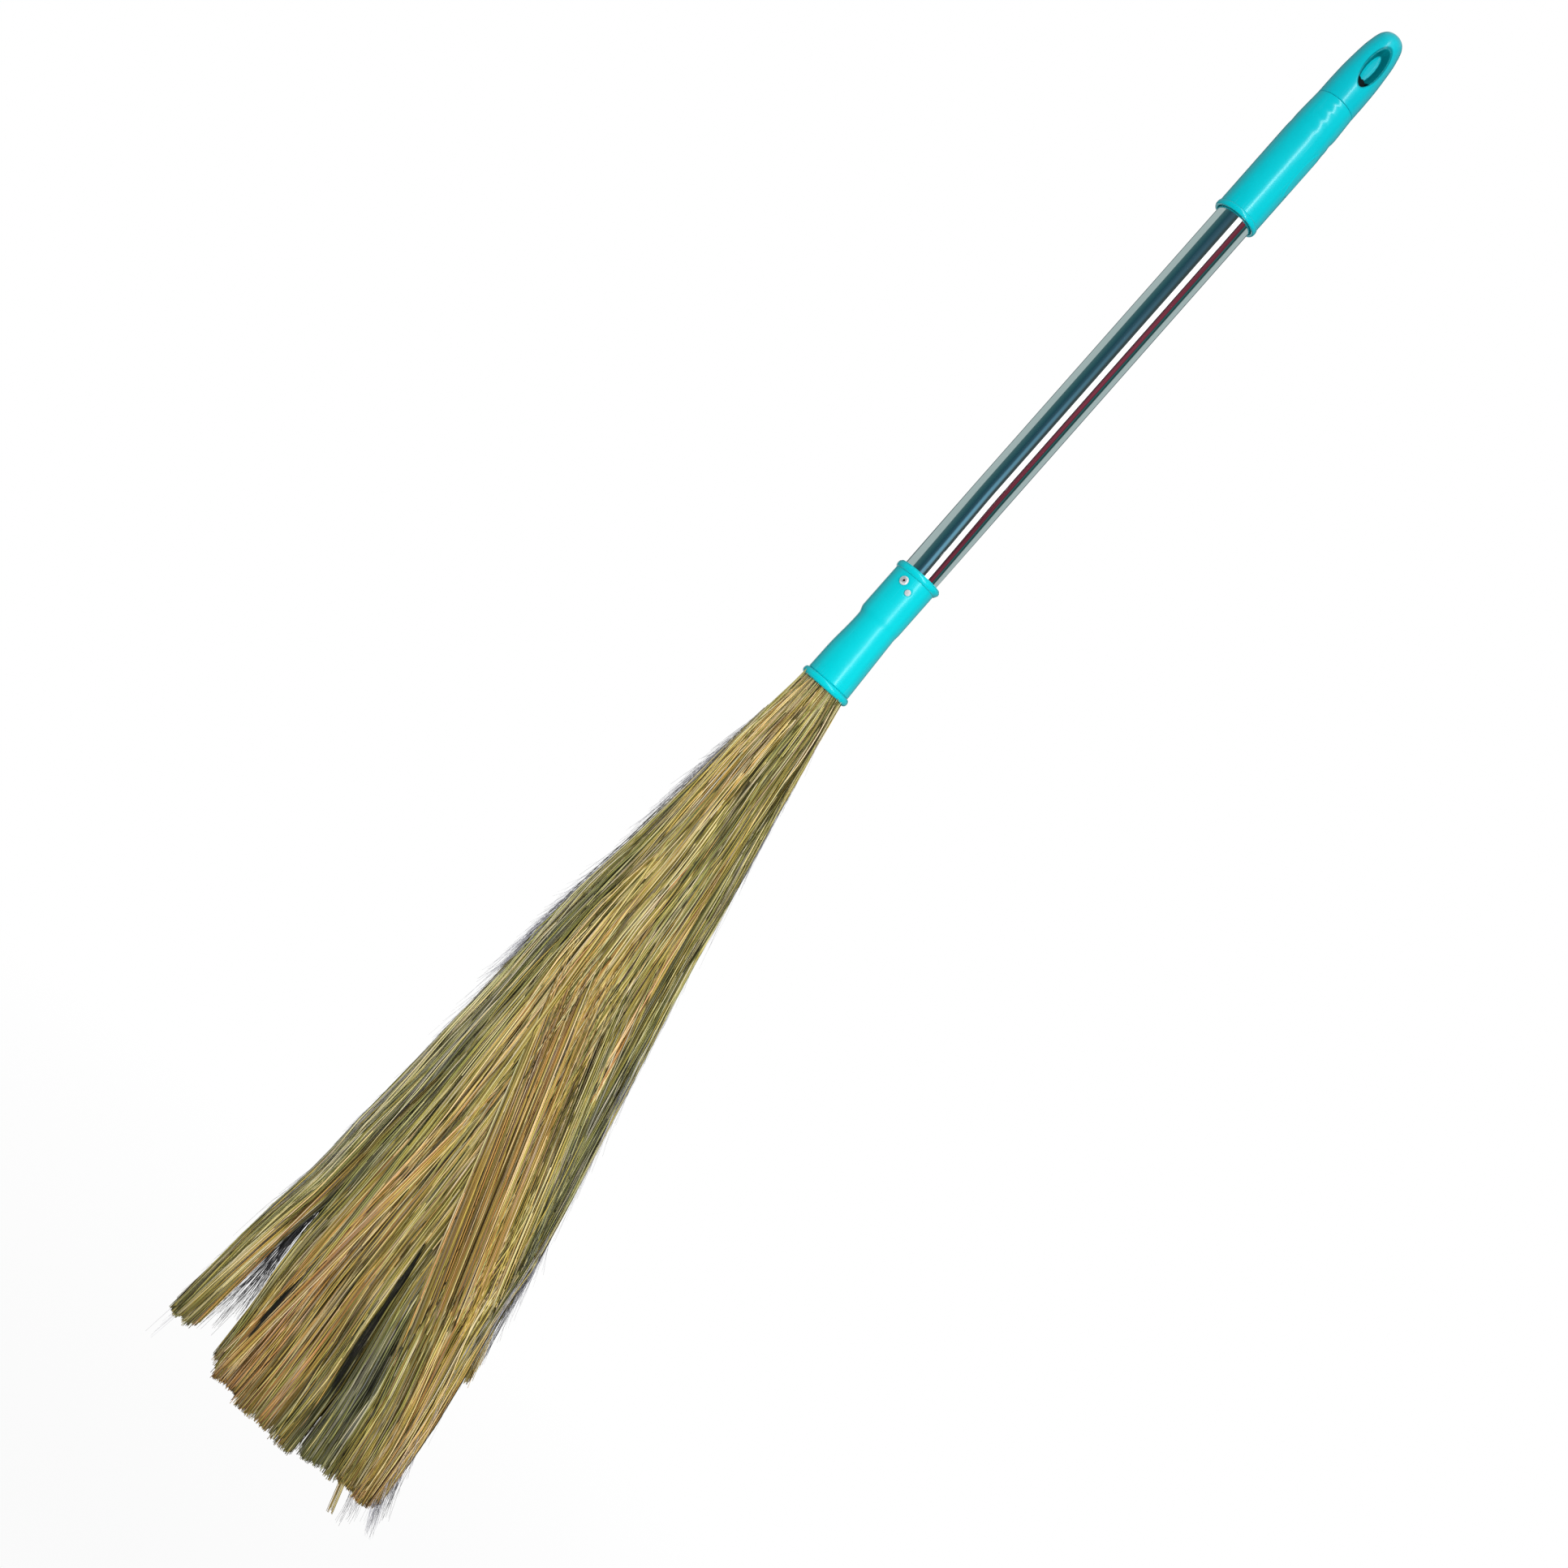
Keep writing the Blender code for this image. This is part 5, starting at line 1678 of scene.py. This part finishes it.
class BROOM_OT_stage(bpy.types.Operator):
    """Set up the white floor, the studio cards, the light and the camera"""
    bl_idname = "broom.make_stage"
    bl_label = "Stage"

    def execute(self, context):
        s = context.scene.broom.stage
        self.make_floor(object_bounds()[0].z - s.floor_drop)
        self.make_wrap(s)
        self.make_key(s)
        self.make_streak(s)
        self.make_world(context.scene, s)
        self.make_camera(context.scene, s)
        context.scene.view_settings.view_transform = "Standard"
        return {"FINISHED"}

    def make_floor(self, level):
        bpy.ops.mesh.primitive_plane_add(size=14, location=(0, 0, level))
        floor = bpy.context.object
        floor.name = "floor"
        made, tree, shader = surface("white_floor")
        tree.feed(shader, Base_Color=(0.5, 0.5, 0.5, 1.0), Roughness=0.9)
        glow = tree.feed(tree.add("Emission"), Color=(1.0, 1.0, 1.0, 1.0), Strength=1.0)
        far = tree.add("VectorMath", operation="LENGTH")
        tree.join(tree.place(), far.inputs[0])
        plain = tree.span(far.outputs["Value"], 0.4, 1.6, 0.93, 1.0)
        blend = tree.add("MixShader")
        seen = tree.times(background_ray(tree), plain)
        for source, target in zip((seen, shader.outputs[0], glow.outputs[0]), blend.inputs):
            tree.join(source, target)
        self.show(made, tree, blend, floor)

    def show(self, made, tree, node, thing):
        """Gives a stage piece a material that ends in the given shader and lights nothing by itself."""
        tree.feed(made.node_tree.nodes["Material Output"], Surface=node.outputs[0])
        made.cycles.emission_sampling = "NONE"
        thing.data.materials.append(made)
        thing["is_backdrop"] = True

    def make_wrap(self, s):
        """Studio cards round the broom that only its gloss sees."""
        work = bmesh.new()
        radii = {"radius1": s.wrap_radius, "radius2": s.wrap_radius, "depth": 3 * s.wrap_radius}
        bmesh.ops.create_cone(work, cap_ends=False, segments=CARD_SIDES, **radii)
        wrap = scratch_object(mesh_of(work, "studio_cards", outward=False))
        wrap.location.z = -s.aim_down
        for seen in ("camera", "diffuse", "shadow", "transmission", "volume_scatter"):
            setattr(wrap, "visible_" + seen, False)
        made, tree, shader = surface("studio_cards")
        place = tree.parts(tree.place())
        height = place["Z"]
        turn = tree.math("ARCTAN2", place["X"], tree.times(place["Y"], -1.0))
        turn = tree.math("SUBTRACT", turn, tree.span(height, 0.50, 0.36, 0.0, 0.22))
        cards = [((degrees + 180) / 360, colour) for degrees, colour in STUDIO_CARDS]
        colour = tree.ramp(tree.span(turn, -math.pi, math.pi), cards)
        strip = self.band(tree, turn, s.key_turn, 0.24, 0.26)
        level = tree.plus(tree.times(strip, s.card_level - 1.0), 1.0)
        low_down = tree.span(height, 1.02, 0.45, 0.0, 1.6)
        level = tree.plus(level, tree.times(self.band(tree, turn, -0.30, 0.10, 0.24), low_down, low_down))
        marks = tree.span(tree.noise(3.0, 0.35, 4.0, 0.7), 0.35, 0.75, 0.55, 2.6)
        marks = tree.times(tree.math("SUBTRACT", marks, 1.0), self.band(tree, turn, 1.0, 0.16, 0.24))
        level = tree.times(level, tree.plus(marks, 1.0))
        self.show(made, tree, tree.feed(tree.add("Emission"), Color=colour, Strength=level), wrap)

    def band(self, tree, turn, middle, inner, outer):
        """1 within a band of turn, and 0 beyond its soft edges."""
        off = tree.math("ABSOLUTE", tree.math("SUBTRACT", turn, middle))
        return tree.span(off, inner, outer, 1.0, 0.0)

    def make_key(self, s):
        key = strip_light("key", s.key_width, s.key_length, s.key_power)
        key.visible_glossy = False
        far = s.lamp_distance
        key.location = (far * math.sin(s.key_turn), -far * math.cos(s.key_turn), s.key_rise - s.aim_down)
        aim = Vector((0, 0, -s.aim_down)) - key.location
        key.rotation_euler = aim.to_track_quat("-Z", "Y").to_euler()

    def make_streak(self, s):
        """A leaning strip light that only the gloss of the plastic pieces sees."""
        streak = strip_light("streak", s.streak_width, s.streak_length, s.streak_power)
        streak.visible_diffuse = False
        streak.data.color = (1.0, 0.42, 0.42)
        far = s.lamp_distance
        place = Vector((far * math.sin(s.streak_turn), -far * math.cos(s.streak_turn), s.streak_rise))
        facing = (Vector((0, 0, -0.1)) - place).to_track_quat("-Z", "Y").to_matrix().to_4x4()
        streak.matrix_world = Matrix.Translation(place) @ facing @ Matrix.Rotation(s.streak_lean, 4, "Z")
        lit = bpy.data.collections.new("streak_lit")
        for name in ("hanging_cap_shell", "grip_sleeve_shell", "ferrule_shell"):
            lit.objects.link(bpy.data.objects[name])
        streak.light_linking.receiver_collection = lit

    def make_world(self, scene, s):
        """Even studio light, and a plain white background where the camera and gloss see it."""
        scene.world = bpy.data.worlds.new("studio")
        scene.world.use_nodes = True
        tree = NodeTree(scene.world.node_tree)
        across = tree.parts(tree.place("Generated"))["X"]
        sky = tree.span(across, -0.9, 0.5, 0.87 * s.sky_level, s.sky_level)
        level = tree.math("MAXIMUM", background_ray(tree), sky)
        tree.feed(scene.world.node_tree.nodes["Background"], Color=(1.0, 1.0, 1.0, 1.0), Strength=level)

    def make_camera(self, scene, s):
        camera = bpy.data.objects.new("camera", bpy.data.cameras.new("camera"))
        scene.collection.objects.link(camera)
        camera.data.lens = s.lens
        camera.data.sensor_width = 36
        right = Vector((math.cos(s.roll), 0, math.sin(s.roll)))
        up = Vector((-math.sin(s.roll), 0, math.cos(s.roll)))
        turn = Matrix((right, up, right.cross(up))).transposed().to_4x4()
        camera.matrix_world = Matrix.Translation((s.aim_right, -s.distance, -s.aim_down)) @ turn
        scene.camera = camera


class BROOM_PT_panel(bpy.types.Panel):
    """Lists the broom's sizes, colours and steps"""
    bl_idname = "BROOM_PT_panel"
    bl_label = "Grass broom"
    bl_space_type = "VIEW_3D"
    bl_region_type = "UI"
    bl_category = "Broom"

    def draw(self, context):
        for label in ("handle", "ferrule", "fasteners", "grass", "stage"):
            box = self.layout.box()
            box.label(text=label.capitalize())
            settings = getattr(context.scene.broom, label)
            for key in settings.__annotations__:
                box.prop(settings, key)
        for step in STEPS:
            self.layout.operator(step.bl_idname)


SETTINGS = (HandleSettings, FerruleSettings, FastenerSettings, GrassSettings, StageSettings, BroomSettings)
STEPS = (
    BROOM_OT_cap,
    BROOM_OT_grip,
    BROOM_OT_tube,
    BROOM_OT_ferrule,
    BROOM_OT_fasteners,
    BROOM_OT_binding,
    BROOM_OT_tufts,
    BROOM_OT_hairs,
    BROOM_OT_stage,
)


def register():
    for made in SETTINGS + STEPS + (BROOM_PT_panel,):
        bpy.utils.register_class(made)
    bpy.types.Scene.broom = PointerProperty(type=BroomSettings)


def unregister():
    del bpy.types.Scene.broom
    for made in reversed(SETTINGS + STEPS + (BROOM_PT_panel,)):
        bpy.utils.unregister_class(made)


def main():
    register()
    bpy.ops.broom.make_cap()
    bpy.ops.broom.make_grip()
    bpy.ops.broom.make_tube()
    bpy.ops.broom.make_ferrule()
    bpy.ops.broom.make_fasteners()
    bpy.ops.broom.finish_binding()
    bpy.ops.broom.make_tufts()
    bpy.ops.broom.make_hairs()
    bpy.ops.broom.make_stage()


if __name__ == "__main__":
    main()
